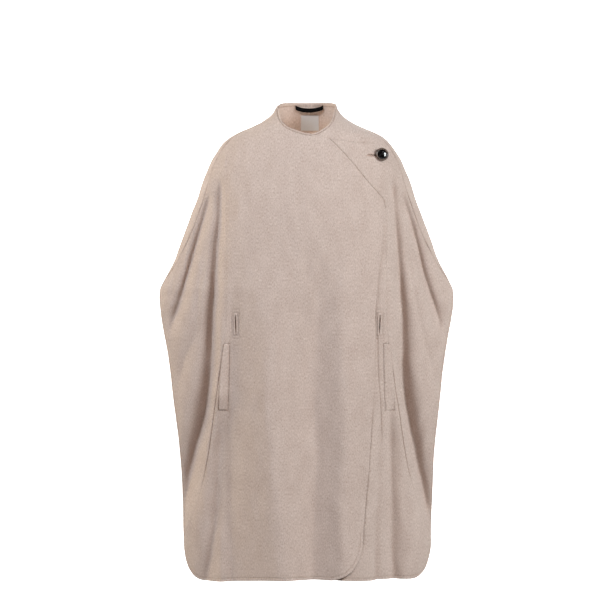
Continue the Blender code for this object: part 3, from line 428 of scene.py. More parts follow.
def points_at(line, distances):
    """Return the points of a line at walked distances."""
    return np.stack([np.interp(distances, walked(line), line[:, k]) for k in (0, 1)], axis=1)


def spread(points, step):
    """Walk a smooth curve through control points with even steps."""
    points = np.asarray(points, dtype=float)
    keys = walked(points)
    at = np.linspace(0.0, keys[-1], max(2, int(round(keys[-1] / step)) + 1))
    return np.stack([follow(list(zip(keys, points[:, k])), 1, at) for k in (0, 1)], axis=1)


def heights_between(top, bottom):
    """Space heights between two ends."""
    return np.linspace(top, bottom, max(2, int(round(abs(top - bottom) / STEP)) + 1))


# Overarm seam: height, angle from the front centre in degrees
OVERARM = [
    (0.090, NECK_ANGLE), (0.060, NECK_ANGLE), (0.030, 76.0), (0.000, 71.0),
    (-0.050, 72.0), (-0.120, 69.5), (-0.225, 69.5), (-0.310, 76.0), (ELBOW, 90.0),
]


def turned_line(side, degrees, heights, from_back):
    """Return the pattern line at some angles from the front centre on one side."""
    angles = np.radians(degrees)
    if from_back:
        return np.stack([-side * arc_of_angle(math.pi - angles, heights, True), heights], axis=1)
    return np.stack([side * arc_of_angle(angles, heights), heights], axis=1)


def overarm_line(side, top, bottom, from_back=False):
    """Follow an overarm seam down, as a pattern line of a front or a back piece."""
    heights = heights_between(top, bottom)
    return turned_line(side, follow(OVERARM, 1, heights), heights, from_back)


def crossing_height(difference, high, low):
    """Find the height between two others at which a rising difference passes zero."""
    for _ in range(40):
        middle = 0.5 * (high + low)
        if difference(np.array([middle]))[0] < 0.0:
            high = middle
        else:
            low = middle
    return middle


# Princess seam: height, distance from the centre line
PRINCESS = [
    (0.020, 0.192), (-0.240, 0.192), (-0.480, 0.195), (-0.536, 0.201), (-0.600, 0.212),
    (-0.682, 0.224), (-0.783, 0.238), (-0.834, 0.249), (-0.886, 0.263),
    (-0.952, 0.288), (-1.000, 0.312),
]
SEAM_TOP_RANGE = (0.0, -0.060)          # it starts at the overarm seam in here
SEAM_END_RANGE = (-0.930, -1.000)       # and ends at the open side in here


def princess_ends():
    """Find the heights at which a princess seam meets the overarm seam and the side."""
    def over_arm(height):
        """Return how far the overarm seam lies outside the princess seam."""
        angle = np.radians(follow(OVERARM, 1, height))
        return follow(RINGS, 1, height) * np.sin(angle) - follow(PRINCESS, 1, height)

    def past_side(height):
        """Return how far the princess seam lies outside the side."""
        return follow(PRINCESS, 1, height) - follow(RINGS, 1, height)

    return (crossing_height(over_arm, *SEAM_TOP_RANGE),
            crossing_height(past_side, *SEAM_END_RANGE))


def princess_line(side):
    """Follow a princess seam down."""
    heights = heights_between(*princess_ends())
    return np.stack([arc_of_x(side * follow(PRINCESS, 1, heights), heights), heights], axis=1)


def side_line(side, top, bottom, from_back=False):
    """Follow an open side edge down."""
    heights = heights_between(top, bottom)
    arcs = arc_of_angle(np.full(len(heights), 0.5 * math.pi), heights, from_back)
    return np.stack([(-side if from_back else side) * arcs, heights], axis=1)


# Neckline: angle from the front centre in degrees, height
NECKLINE = [
    (-8.0, -0.0110), (0.0, -0.0076), (4.2, -0.0037), (17.0, 0.0079), (28.4, 0.0205),
    (50.0, 0.0440), (71.0, 0.0625), (90.0, 0.0700), (105.0, 0.0738), (120.0, 0.0765),
    (150.0, 0.0785), (180.0, 0.0790),
]
UNDER_DROP = (0.0045, 4.0, 18.0)    # the under front's neckline is lower at its end
NECK_STEP = 2.5             # between its points, in degrees


def neck_line(side, start, end, from_back=False, drop=0.0):
    """Follow the neckline between two angles from the front centre, in degrees."""
    degrees = np.linspace(start, end, max(3, int(abs(end - start) / NECK_STEP) + 2))
    heights = follow(NECKLINE, 1, degrees)
    heights = heights - drop * (1.0 - smooth_step(degrees, *UNDER_DROP[1:]))
    return turned_line(side, degrees, heights, from_back)


def round_corner(corner, start, end, radius):
    """Round the corner between two directions, given as unit steps away from it."""
    centre = np.asarray(corner) + radius * (np.asarray(start) + np.asarray(end))
    turns = np.linspace(0.0, 0.5 * math.pi, int(round(0.5 * math.pi * radius / STEP)) + 1)
    return np.array([
        centre - radius * (math.cos(t) * np.asarray(end) + math.sin(t) * np.asarray(start))
        for t in turns])


def level_line(start, end, height):
    """Follow a level hem from one arc to another."""
    count = max(2, int(round(abs(end - start) / STEP)) + 1)
    return np.stack([np.linspace(start, end, count), np.full(count, height)], axis=1)


def front_line(points, side=1.0, step=STEP):
    """Lay a curve given as (x, height) on the front's pattern."""
    x, heights = spread(points, step).T
    return np.stack([arc_of_x(side * x, heights), heights], axis=1)


SIDE_CORNER = 0.085         # radius of the rounded corners at the open sides


def side_and_corner(side, start, hem, from_back=False):
    """Follow an open side edge down and round its corner onto the hem."""
    flip = -1.0 if from_back else 1.0
    arc = flip * side * arc_of_angle(0.5 * math.pi, hem + SIDE_CORNER, from_back)[0]
    inward = -math.copysign(1.0, arc)
    corner = round_corner((arc, hem), (0.0, 1.0), (inward, 0.0), SIDE_CORNER)
    return np.concatenate([side_line(side, start, hem + SIDE_CORNER, from_back), corner[1:]])


SAME_POINT = 1e-4           # points nearer than this are one


def join(lines):
    """Chain lines end to end into one closed outline without doubled points."""
    points = []
    for line in lines:
        points += [p for p in line if not points or np.linalg.norm(p - points[-1]) > SAME_POINT]
    points = np.array(points)
    return points[:-1] if np.linalg.norm(points[0] - points[-1]) < SAME_POINT else points


def signed_area(outline):
    """Return the area inside an outline, positive when it runs anticlockwise."""
    following = np.roll(outline, -1, axis=0)
    return 0.5 * np.sum(outline[:, 0] * following[:, 1] - following[:, 0] * outline[:, 1])


MITRE = (0.7, 2.5)          # limits on how far a sharp corner is drawn in


def inset(outline, distance):
    """Draw an outline that runs anticlockwise in by a distance."""
    ahead = np.roll(outline, -1, axis=0) - outline
    ahead /= np.linalg.norm(ahead, axis=1)[:, None]
    behind = np.roll(ahead, 1, axis=0)
    inward = np.stack([-ahead[:, 1] - behind[:, 1], ahead[:, 0] + behind[:, 0]], axis=1)
    length = np.linalg.norm(inward, axis=1)[:, None]
    inward /= np.maximum(length, 1e-9)
    stretch = np.minimum(2.0 / np.maximum(length, MITRE[0]), MITRE[1])
    return outline + inward * distance * stretch


def inside_outline(points, outline):
    """Tell which points lie inside an outline."""
    found = np.zeros(len(points), dtype=bool)
    x, y = points.T
    for (x0, y0), (x1, y1) in zip(outline, np.roll(outline, -1, axis=0)):
        spans = (y0 > y) != (y1 > y)
        if y0 != y1:
            found ^= spans & (x < x0 + (y - y0) / (y1 - y0) * (x1 - x0))
    return found


NEAR = 0.016                # distances from lines are worked out this far
NEAR_RUN = 12               # pieces of a line that are looked at together


def distance_to(points, lines):
    """Return each point's distance from the nearest of some open lines, if it is near."""
    nearest = np.full(len(points), 1.0)
    for line in lines:
        for first in range(0, len(line) - 1, NEAR_RUN):
            part = line[first:first + NEAR_RUN + 1]
            low, high = part.min(axis=0) - NEAR, part.max(axis=0) + NEAR
            near = np.nonzero(((points > low) & (points < high)).all(axis=1))[0]
            run = np.diff(part, axis=0)
            offset = points[near, None] - part[None, :-1]
            share = (offset * run).sum(axis=-1) / np.maximum((run * run).sum(axis=-1), 1e-18)
            away = offset - np.clip(share, 0.0, 1.0)[..., None] * run
            if len(near):
                found = np.hypot(away[..., 0], away[..., 1]).min(axis=1)
                nearest[near] = np.minimum(nearest[near], found)
    return nearest


def closed(outline):
    """Return an outline as a line that comes back to its start."""
    return np.concatenate([outline, outline[:1]])


CREASE_CLEAR = 0.0034       # the lattice leaves a crease this much room
CREASE_ROWS = (-0.0022, -0.0013, -0.0006, 0.0, 0.0006, 0.0013, 0.0022)
ROW_KEPT = 0.96             # a point nearer to an edge than this share of its row's distance
HOLE_ROW_KEPT = 0.9         # is left out, and one nearer to a hole than this share


def fill_pattern(outline, holes, columns, rows, clear, edge_rows, creases):
    """Fill an outline with points and triangles, leaving its holes open."""
    low, high = outline.min(axis=0), outline.max(axis=0)
    across = np.arange(math.floor(low[0] / columns) * columns, high[0], columns)
    down = np.arange(math.floor(low[1] / rows) * rows, high[1], rows)
    points = np.stack(np.meshgrid(across, down), axis=-1).reshape(-1, 2)
    points = points[inside_outline(points, outline)]
    border = [closed(outline)] + [closed(hole) for hole in holes]
    points = points[distance_to(points, border) > clear]
    for line in creases:
        points = points[distance_to(points, [line]) > CREASE_CLEAR]
    for distance in edge_rows:
        row = inset(outline, distance)
        row = row[inside_outline(row, outline)]
        points = np.concatenate([points, row[distance_to(row, border[:1]) > ROW_KEPT * distance]])
    for hole in holes:
        for distance in edge_rows:
            row = inset(hole[::-1] if signed_area(hole) < 0.0 else hole, -distance)
            row = row[inside_outline(row, outline)]
            row = row[distance_to(row, border) > HOLE_ROW_KEPT * distance]
            points = np.concatenate([points, row])
    for line in creases:
        step = np.gradient(line, axis=0)
        step = np.stack([-step[:, 1], step[:, 0]], axis=1)
        step /= np.linalg.norm(step, axis=1)[:, None]
        for aside in CREASE_ROWS:
            points = np.concatenate([points, line + aside * step])
    loops = [outline, *holes]
    edges = []
    start = 0
    for loop in loops:
        count = len(loop)
        edges += [(start + k, start + (k + 1) % count) for k in range(count)]
        start += count
    vectors = [Vector(point) for point in np.concatenate([*loops, points])]
    found = delaunay_2d_cdt(vectors, edges, [], 1, 1e-7)
    pattern = np.array([tuple(v) for v in found[0]])
    triangles = np.array([tuple(face) for face in found[2]])
    for hole in holes:
        triangles = triangles[~inside_outline(pattern[triangles].mean(axis=1), hole)]
    return pattern, triangles


def add_object(name, points, faces, material):
    """Make a smooth object of one material from points and faces."""
    mesh = bpy.data.meshes.new(name)
    mesh.from_pydata(points, [], faces)
    mesh.materials.append(material)
    mesh.shade_smooth()
    made = bpy.data.objects.new(name, mesh)
    bpy.context.scene.collection.objects.link(made)
    return made


def close_wall(name, outer, inner, seam_shades, pattern, triangles, material):
    """Join an outer and an inner skin along their border into one closed wall."""
    count = len(outer)
    directed = {(int(f[k]), int(f[(k + 1) % 3])) for f in triangles for k in range(3)}
    border = [(a, b) for a, b in directed if (b, a) not in directed]
    sides = [(b, a, count + a, count + b) for a, b in sorted(border)]
    faces = [tuple(f) for f in triangles.tolist()]
    faces += [tuple(f) for f in (triangles[:, ::-1] + count).tolist()]
    made = add_object(name, np.concatenate([outer, inner]).tolist(), faces + sides, material)
    mesh = made.data
    mesh.update()
    corners = np.zeros(len(mesh.loops), dtype=np.int32)
    mesh.loops.foreach_get("vertex_index", corners)
    places = np.concatenate([pattern, pattern])[corners]
    mesh.uv_layers.new(name="cloth").data.foreach_set("uv", places.astype(np.float32).ravel())
    # each point's painted seam shade is stored for the cloth's colour
    both = np.concatenate([seam_shades, seam_shades]).astype(np.float32)
    mesh.attributes.new("seam_shade", "FLOAT", "POINT").data.foreach_set("value", both)
    mesh.set_sharp_from_angle(angle=math.radians(60.0))
    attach(made, "root")
    return made


SEAM_ROLL = (0.0005, 0.0022)    # the cloth dips into a seam: depth, reach
FIRM_ROLL = (0.0013, 0.0020)    # and into a seam that the cloth pulls on
PULL_ROLL = 0.0018              # and into a princess seam, where it is pulled,
PULL_RUN = (0.50, 0.58, 0.78, 0.88) # which is between these depths
SEAM_SHADE_DEPTH = (0.0003, 0.0027)   # painted shade in a line starts at this depth of dip and is full from that one
ALLOWANCE = (0.0007, 0.0107)    # seam allowance pressed open inside: thickness, width
ALLOWANCE_FADES = (0.0009, 0.0016, 0.0060)  # at its edge, the seam and a turned edge
SEWN_ROLL = (0.0017, 0.0036)    # the edge of a piece sewn down onto another
EDGE_ROUND = 0.0012             # a turned edge is round
HEM_STITCH = 0.0070             # stitch line in from a hem
NECK_STITCH = {False: 0.0046, True: 0.0082}     # in from the neck edge, front and back
STITCH_DIP = (0.0008, 0.0012)   # the cloth dips at a row of stitches: depth, reach
NECK_DIP = (0.0016, 0.0016)     # the neck edge is turned in and stitched: a soft roll


def skins(pattern, edges, from_back, lapped, raised, wall, creases):
    """Return a piece's outer and inner skin, and each point's painted shade in a seam or crease.
    """
    firm = distance_to(pattern, edges.get("firm seam", []))
    princess = distance_to(pattern, edges.get("princess seam", []))
    seam = np.minimum(np.minimum(firm, princess), distance_to(pattern, edges.get("seam", [])))
    sewn = distance_to(pattern, edges.get("sewn", []))
    turned = distance_to(pattern, [line for kind, lines in edges.items()
                                   if kind in ("free", "hem", "neck") for line in lines])
    hem = distance_to(pattern, edges.get("hem", []))
    neck = distance_to(pattern, edges.get("neck", []))
    radius = min(EDGE_ROUND, 0.48 * wall)
    rounding = radius - np.sqrt(radius ** 2 - np.maximum(radius - turned, 0.0) ** 2)
    dip = STITCH_DIP[0] * np.exp(-((hem - HEM_STITCH) / STITCH_DIP[1]) ** 2)
    dip += NECK_DIP[0] * np.exp(-((neck - NECK_STITCH[from_back]) / NECK_DIP[1]) ** 2)
    roll = SEAM_ROLL[0] * (1.0 - smooth_step(seam, 0.0, SEAM_ROLL[1]))
    pull = smooth_step(-pattern[:, 1], *PULL_RUN[:2])
    pull *= 1.0 - smooth_step(-pattern[:, 1], *PULL_RUN[2:])
    roll += np.maximum(
        (FIRM_ROLL[0] - SEAM_ROLL[0]) * (1.0 - smooth_step(firm, 0.0, FIRM_ROLL[1])),
        (PULL_ROLL - SEAM_ROLL[0]) * pull * (1.0 - smooth_step(princess, 0.0, FIRM_ROLL[1])))
    sunk = dip + roll
    roll += SEWN_ROLL[0] * (1.0 - smooth_step(sewn, 0.0, SEWN_ROLL[1]))
    thick, wide = ALLOWANCE
    edge_fade, seam_fade, turned_fade = ALLOWANCE_FADES
    allowance = thick * (1.0 - smooth_step(seam, wide - edge_fade, wide))
    allowance *= smooth_step(seam, 0.0, seam_fade) * smooth_step(turned, 0.0, turned_fade)
    level = raised + pressed(pattern)
    if lapped:
        level = level + lap_lift(pattern)
    for line, depth, width, head_run, foot_run in creases:
        foot, head = line[:, 1].min(), line[:, 1].max()
        fade = 1.0 - smooth_step(pattern[:, 1], head - head_run, head) if head_run else 1.0
        fade = fade * smooth_step(pattern[:, 1], foot, foot + foot_run) if foot_run else fade
        groove = fade * depth * np.exp(-(distance_to(pattern, [line]) / width) ** 2)
        level = level - groove
        sunk = sunk + groove
    surface = drape(pattern, from_back)
    normals = drape_normals(pattern, from_back)
    outer = surface + normals * (level - rounding - dip - roll)[:, None]
    inner = surface + normals * (level - wall + rounding + 0.5 * dip - allowance)[:, None]
    # painted shade: the deeper a point dips into a seam or pressed line, the darker its colour
    seam_shades = (sunk - SEAM_SHADE_DEPTH[0]) / (SEAM_SHADE_DEPTH[1] - SEAM_SHADE_DEPTH[0])
    return outer, inner, np.clip(seam_shades, 0.0, 1.0)


MEASURED_RUNS = 24          # runs of cloth that are measured for the size of a cut
MEASURED_POINTS = 160       # points on each


def longest(outline, axis, from_back):
    """Measure the longest run of laid cloth along a direction of the pattern."""
    low, high = outline.min(axis=0), outline.max(axis=0)
    runs = np.zeros((MEASURED_RUNS, MEASURED_POINTS, 2))
    between = np.linspace(low[1 - axis], high[1 - axis], MEASURED_RUNS + 2)
    runs[:, :, 1 - axis] = between[1:-1, None]
    runs[:, :, axis] = np.linspace(low[axis], high[axis], MEASURED_POINTS)
    laid = drape(runs.reshape(-1, 2), from_back).reshape(MEASURED_RUNS, MEASURED_POINTS, 3)
    middles = 0.5 * (runs[:, :-1] + runs[:, 1:])
    inside = inside_outline(middles.reshape(-1, 2), outline).reshape(MEASURED_RUNS, -1)
    return (np.linalg.norm(np.diff(laid, axis=1), axis=2) * inside).sum(axis=1).max()


def declare_sheet(piece, flat, area, held, rests_on, sewn_on):
    """Round the flat sizes of a piece's cut to whole millimetres."""
    flat = [round(side, 3) for side in flat]


COLUMN = 0.0038             # lattice of the cloth, across and down
ROW = 0.0060
CLEAR = 0.0140              # it starts this far in from an outline
EDGE_ROWS = (0.0007, 0.0016, 0.0030, 0.0046, 0.0062, 0.0070, 0.0078, 0.0098, 0.0115)
cut_pieces = []             # every piece that is cut, for its stitches and its rounded sizes


def cut_cloth(name, lines, material, from_back=False, lapped=False, raised=0.0, wall=WALL,
              holes=(), creases=(), columns=COLUMN, rows=ROW, clear=CLEAR, edge_rows=EDGE_ROWS,
              rests_on=(), held="hung"):
    """Cut a piece from lines of named kinds, lay it on the drape and close its wall."""
    outline = join([line for _, line in lines])
    if signed_area(outline) < 0.0:
        outline = outline[::-1]
    outline = inset(outline, 0.5 * SEAM_GAP)
    pattern, triangles = fill_pattern(outline, list(holes), columns, rows, clear, edge_rows,
                                      [crease[0] for crease in creases])
    edges = {"free": [closed(hole) for hole in holes]}
    for kind, line in lines:
        edges.setdefault(kind, []).append(line)
    outer, inner, seam_shades = skins(pattern, edges, from_back, lapped, raised, wall, creases)
    made = close_wall(name, outer, inner, seam_shades, pattern, triangles, material)
    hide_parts(name.removesuffix("_cloth"))
    corners = outer[triangles]
    area = 0.5 * np.linalg.norm(np.cross(corners[:, 1] - corners[:, 0],
                                         corners[:, 2] - corners[:, 0]), axis=1).sum()
    flat = [longest(outline, axis, from_back) for axis in (0, 1)]
    cut_pieces.append((made, outline, edges, from_back, lapped, (flat, area, held, rests_on)))
    return made


def linear_colour(text):
    """Turn a sRGB hex colour into linear red, green, blue, alpha."""
    values = [int(text[i:i + 2], 16) / 255.0 for i in (1, 3, 5)]
    linear = [v / 12.92 if v <= 0.04045 else ((v + 0.055) / 1.055) ** 2.4 for v in values]
    return (*linear, 1.0)


def add_node(tree, kind, settings=None, links=None):
    """Add a node with its settings and the links into its sockets."""
    node = tree.nodes.new(kind)
    for key, value in (settings or {}).items():
        if key in node.inputs:
            node.inputs[key].default_value = value
        else:
            setattr(node, key, value)
    for key, socket in (links or {}).items():
        tree.links.new(socket, node.inputs[key])
    return node


def new_material(name, roughness):
    """Make an empty Principled material and return it with its tree and shader."""
    material = bpy.data.materials.new(name)
    material.use_nodes = True
    shader = material.node_tree.nodes["Principled BSDF"]
    shader.inputs["Roughness"].default_value = roughness
    return material, material.node_tree, shader


def set_ramp(node, stops):
    """Give a colour ramp its stops, as (place, sRGB hex)."""
    elements = node.color_ramp.elements
    while len(elements) < len(stops):
        elements.new(0.5)
    for element, (place, colour) in zip(elements, stops):
        element.position = place
        element.color = linear_colour(colour)
    return node


def cloth_noise(tree, size, detail, roughness):
    """Draw a noise on the cloth whose grains have a size across and along, in metres."""
    place = add_node(tree, "ShaderNodeUVMap", {"uv_map": "cloth"})
    scaled = add_node(tree, "ShaderNodeMapping", {"Scale": (1.0 / size[0], 1.0 / size[1], 1.0)},
                      {"Vector": place.outputs["UV"]})
    return add_node(tree, "ShaderNodeTexNoise",
                    {"Scale": 1.0, "Detail": detail, "Roughness": roughness},
                    {"Vector": scaled.outputs["Vector"]})


def tones(tree, noise, stops):
    """Turn a noise into colours."""
    return set_ramp(add_node(tree, "ShaderNodeValToRGB", {}, {"Fac": noise.outputs["Fac"]}),
                    stops)


def multiply(tree, first, second):
    """Multiply a colour by another and return the node."""
    mixed = add_node(tree, "ShaderNodeMix", {"data_type": "RGBA", "blend_type": "MULTIPLY"})
    mixed.inputs["Factor"].default_value = 1.0
    tree.links.new(first, mixed.inputs["A"])
    if isinstance(second, str):
        mixed.inputs["B"].default_value = linear_colour(second)
    else:
        tree.links.new(second, mixed.inputs["B"])
    return mixed


# Melange wool coating, brushed: pale and darker fibres mixed in the yarn give a fine
# speckle that runs with the warp, and the nap gives a pale bloom at grazing angles.
wool, tree, shader = new_material("melange wool coating", 0.95)
shader.inputs["Sheen Weight"].default_value = 0.28
shader.inputs["Sheen Roughness"].default_value = 0.5
shader.inputs["Sheen Tint"].default_value = linear_colour("#FFF6EE")
shader.inputs["Specular IOR Level"].default_value = 0.15
# yarn: 1.2 mm in the real cloth, drawn 2.1 mm wide and 5 mm long so that it shows
fibres = cloth_noise(tree, (0.0021, 0.0050), 4.0, 0.65)
melange = tones(tree, fibres, [(0.26, "#A8988E"), (0.46, "#C2B2AA"), (0.60, "#CDBFB8"),
                               (0.76, "#DCD2CD")])
# tufts of brushed nap, 4 to 6 mm
tufts = tones(tree, cloth_noise(tree, (0.0042, 0.0060), 3.0, 0.6),
              [(0.30, "#F0EEEC"), (0.70, "#FFFFFF")])
mottled = multiply(tree, melange.outputs["Color"], tufts.outputs["Color"])
# clouding of the nap, 30 to 55 mm
clouds = tones(tree, cloth_noise(tree, (0.030, 0.055), 3.0, 0.5),
               [(0.30, "#F5F3F2"), (0.70, "#FFFFFF")])
clouded = multiply(tree, mottled.outputs["Result"], clouds.outputs["Color"])
# painted shade in seams and pressed lines, where the light hardly gets in: the deeper the dip, the
# darker
shaded = multiply(tree, clouded.outputs["Result"], "#A48F7F")
seam_shades = add_node(tree, "ShaderNodeAttribute", {"attribute_name": "seam_shade"})
tree.links.new(seam_shades.outputs["Fac"], shaded.inputs["Factor"])
tree.links.new(shaded.outputs["Result"], shader.inputs["Base Color"])
nap = add_node(tree, "ShaderNodeBump", {"Strength": 0.35, "Distance": 0.0006},
               {"Height": fibres.outputs["Fac"]})
tree.links.new(nap.outputs["Normal"], shader.inputs["Normal"])


# Belt slits: the middle of the right and of the left one as distance from the centre line
# and height; width and length of the slit, of its frame and of the line pressed round that
SLIT_AT = {-1.0: (0.1702, -0.4670), 1.0: (0.1757, -0.4670)}
SLIT_SIZE = (0.0030, 0.0455)
BINDING_SIZE = (0.0112, 0.0545)
BINDING_STEP = 0.0020       # between the points of its outline
FRAME_SIZE = (0.0196, 0.0700)
SLIT_LEAN = 0.040           # the slits lean together towards the foot
# Inner and outer edge of a pocket welt: distance from the centre line, height
WELT_INNER = [(0.1852, -0.5145), (0.1872, -0.6000), (0.1899, -0.6750)]
WELT_OUTER = [(0.1985, -0.5145), (0.2040, -0.5550), (0.2085, -0.6000), (0.2112, -0.6750)]
SMALL_STEP = 0.0025         # between the points of a small piece's outline


def front_point(x, height):
    """Return the (arc, height) point of the front at x."""
    return np.array([arc_of_x(x, height)[0], height])


def slit_centre(side):
    """Return where the middle of a belt slit lies on a front's pattern."""
    return front_point(side * SLIT_AT[side][0], SLIT_AT[side][1])


LEAF_SIDES = 40
LEAF_POINTED = 1.3          # the higher, the sharper the ends of a slit


def leaf(centre, width, length, upright=True):
    """Return the mouth of a slit, widest in the middle, round an (arc, height) point."""
    turns = np.linspace(0.0, 2.0 * math.pi, LEAF_SIDES, endpoint=False)
    along = 0.5 * length * np.cos(turns)
    across = 0.5 * width * np.sign(np.sin(turns)) * np.abs(np.sin(turns)) ** LEAF_POINTED
    points = np.stack([across, along] if upright else [along, across], axis=1)
    return points + centre


def straight(start, end, step=SMALL_STEP):
    """Return an even row of pattern points from one to another."""
    count = max(2, int(round(np.linalg.norm(end - start) / step)) + 1)
    return start + np.linspace(0.0, 1.0, count)[:, None] * (end - start)


def welt_edges(side):
    """Return the inner edge, both ends and the outer edge of a pocket welt."""
    inner = front_line(WELT_INNER, side, SMALL_STEP)
    outer = front_line(WELT_OUTER, side, SMALL_STEP)
    return inner, straight(inner[-1], outer[-1]), outer, straight(outer[0], inner[0])


def slit_mouth(side):
    """Return the mouth of a belt slit."""
    centre = slit_centre(side)
    mouth = leaf(centre, *SLIT_SIZE)
    mouth[:, 0] += side * SLIT_LEAN * (mouth[:, 1] - centre[1])
    return mouth


def binding_edges(side, size=BINDING_SIZE):
    """Return the four edges of a belt slit's frame."""
    centre = slit_centre(side)
    corners = [centre + (0.5 * x * size[0], 0.5 * y * size[1])
               for x, y in ((-1, -1), (1, -1), (1, 1), (-1, 1), (-1, -1))]
    return [straight(a, b, BINDING_STEP) for a, b in zip(corners[:-1], corners[1:])]


PRESSED_IN = (0.0008, 0.0011)   # the line round what is sewn on: depth, width
WELT_END = (0.0012, 0.0011)     # at the ends of a welt
WELT_SHADOW = (0.0024, 0.0014)  # at its outer edge, the mouth of the pocket,
SHADOW_RUN = 0.050              # from a third of the way down, coming in over this run


def pressed_in(side):
    """Return the pressed lines that a welt and a slit's frame leave on a front."""
    inner, foot, outer, head = welt_edges(side)
    faint = [inner, outer[:len(outer) // 3], closed(join(binding_edges(side))),
             closed(join(binding_edges(side, FRAME_SIZE)))]
    return ([(line, *PRESSED_IN, 0.0, 0.0) for line in faint]
            + [(line, *WELT_END, 0.0, 0.0) for line in (foot, head)]
            + [(outer[len(outer) // 3:], *WELT_SHADOW, SHADOW_RUN, 0.0)])


# Top edge of the lapped front and seam to the shoulder tab: x, height
LAP_TOP = [(0.0110, -0.0103), (0.0330, -0.0166), (0.0570, -0.0216)]
DIAGONAL = [
    (0.0570, -0.0216), (0.0905, -0.0560), (0.1190, -0.0895), (0.1405, -0.1158),
    (0.1562, -0.1342), (0.1703, -0.1500), (0.1843, -0.1672), (0.1895, -0.1880),
]
LAP_CORNER = (0.078, 0.112) # width and height of the rounded corner of the lapped front
LAP_NECK_START = -2.6       # the lapped neckline starts this far past the middle, in degrees

neck_meeting = follow(NECKLINE, 1, np.array([NECK_ANGLE]))[0]
seam_top, seam_end = princess_ends()
lap_foot = HEM + LAP_CORNER[1]
lap_x = follow(LAP_EDGE, 1, np.array([lap_foot]))[0]
lap_edge = [(x, h) for h, x in LAP_EDGE if h > lap_foot] + [(lap_x, lap_foot)]
lap_arc = arc_of_x(lap_x, lap_foot)[0]
lap_corner = round_corner((lap_arc, HEM), (-1.0, 0.0), (0.0, 1.0), LAP_CORNER[0])
lap_corner[:, 1] = HEM + (lap_corner[:, 1] - HEM) * LAP_CORNER[1] / LAP_CORNER[0]
right_side = side_and_corner(-1.0, seam_end, HEM)
front_lapped = cut_cloth("front_lapped_cloth", [
    ("firm seam", overarm_line(-1.0, neck_meeting, seam_top)),
    ("princess seam", princess_line(-1.0)),
    ("hem", right_side),
    ("hem", level_line(right_side[-1][0], lap_arc - LAP_CORNER[0], HEM)),
    ("hem", lap_corner),
    ("free", front_line(lap_edge)[::-1]),
    ("firm seam", front_line(DIAGONAL)[::-1]),
    ("free", front_line(LAP_TOP)[::-1]),
    ("neck", neck_line(-1.0, LAP_NECK_START, NECK_ANGLE)),
], wool, lapped=True, creases=pressed_in(-1.0),
    holes=[slit_mouth(-1.0)],
    rests_on=["front_under_cloth", "shoulder_tab_cloth"])

# ---------------------------------------------------------------------------------
# Under front: the wearer's left front, which the lapped front partly covers.  The same
# wool; a pressed crease runs down beside the lap's edge and opens into a soft fold.

UNDER_HEM = HEM + 0.0045
LAP_HEM = HEM + 0.0006      # it steps down beside the lap
HEM_NOTCH = (0.160, 0.170)  # between these x
UNDER_NECK_START = 4.0      # its neckline starts this far past the middle, in degrees
# Hidden start of its top edge: x, height
UNDER_TOP = [(0.0110, -0.0085), (0.0030, -0.0190), (-0.0100, -0.0300), (-0.0300, -0.0450)]

# Pressed crease beside the lap's edge: x, height
UNDER_CREASE = [
    (0.1712, -0.4300), (0.1712, -0.5140), (0.1728, -0.5810), (0.1776, -0.6470),
    (0.1812, -0.7250), (0.1820, -0.7900),
]

# Lines pressed into the cloth, as depth, width, and the run over which each fades at its
# upper and its lower end: the crease, the lap's edge above and below, the tab's two edges
CREASE_PRESS = (0.0010, 0.0020, 0.070, 0.070)
LAP_PRESS_HIGH = (0.0005, 0.0011, 0.0, 0.100)
LAP_PRESS = (0.0050, 0.0019, 0.100, 0.0)
TAB_PRESS = (0.0015, 0.0011, 0.0, 0.0)
TAB_SIDE_PRESS = (0.0008, 0.0011, 0.0, 0.0)
LAP_TURN = 8                # the point of the lap's edge where the one ends and the other starts

# Top and outer edge of the shoulder tab: x, height
TAB_TOP = [
    (0.0570, -0.0216), (0.0980, -0.0272), (0.1310, -0.0308), (0.1640, -0.0325),
    (0.1960, -0.0400),
]
TAB_SIDE = [
    (0.1960, -0.0400), (0.2075, -0.0560), (0.2110, -0.0800), (0.2080, -0.1080),
    (0.2000, -0.1400), (0.1975, -0.1600), (0.1955, -0.1740), (0.1895, -0.1880),
]
left_side = side_and_corner(1.0, seam_end, UNDER_HEM)
front_under = cut_cloth("front_under_cloth", [
    ("firm seam", overarm_line(1.0, neck_meeting, seam_top)),
    ("princess seam", princess_line(1.0)),
    ("hem", left_side),
    ("hem", level_line(left_side[-1][0], arc_of_x(HEM_NOTCH[1], UNDER_HEM)[0], UNDER_HEM)),
    ("hem", level_line(arc_of_x(HEM_NOTCH[0], LAP_HEM)[0], arc_of_x(UNDER_EDGE, LAP_HEM)[0],
                       LAP_HEM)),
    ("free", front_line([(UNDER_EDGE, LAP_HEM), (UNDER_EDGE, UNDER_TOP[-1][1])])),
    ("free", front_line(UNDER_TOP)[::-1]),
    ("neck", neck_line(1.0, UNDER_NECK_START, NECK_ANGLE, drop=UNDER_DROP[0])),
], wool, holes=[slit_mouth(1.0)],
    creases=[(front_line(UNDER_CREASE, step=SMALL_STEP), *CREASE_PRESS),
             (front_line(lap_edge[:LAP_TURN + 1], step=SMALL_STEP), *LAP_PRESS_HIGH),
             (np.concatenate([front_line(lap_edge[LAP_TURN:], step=SMALL_STEP),
                              lap_corner[::-1][1:]]), *LAP_PRESS),
             (front_line(TAB_TOP, step=SMALL_STEP), *TAB_PRESS),
             (front_line(TAB_SIDE, step=SMALL_STEP)[1:], *TAB_SIDE_PRESS),
             *pressed_in(1.0)])

# ---------------------------------------------------------------------------------
# Shoulder tab: the end of the lapped front, pieced on along a diagonal seam.  It lies
# over the wearer's left shoulder and carries the buttonhole.

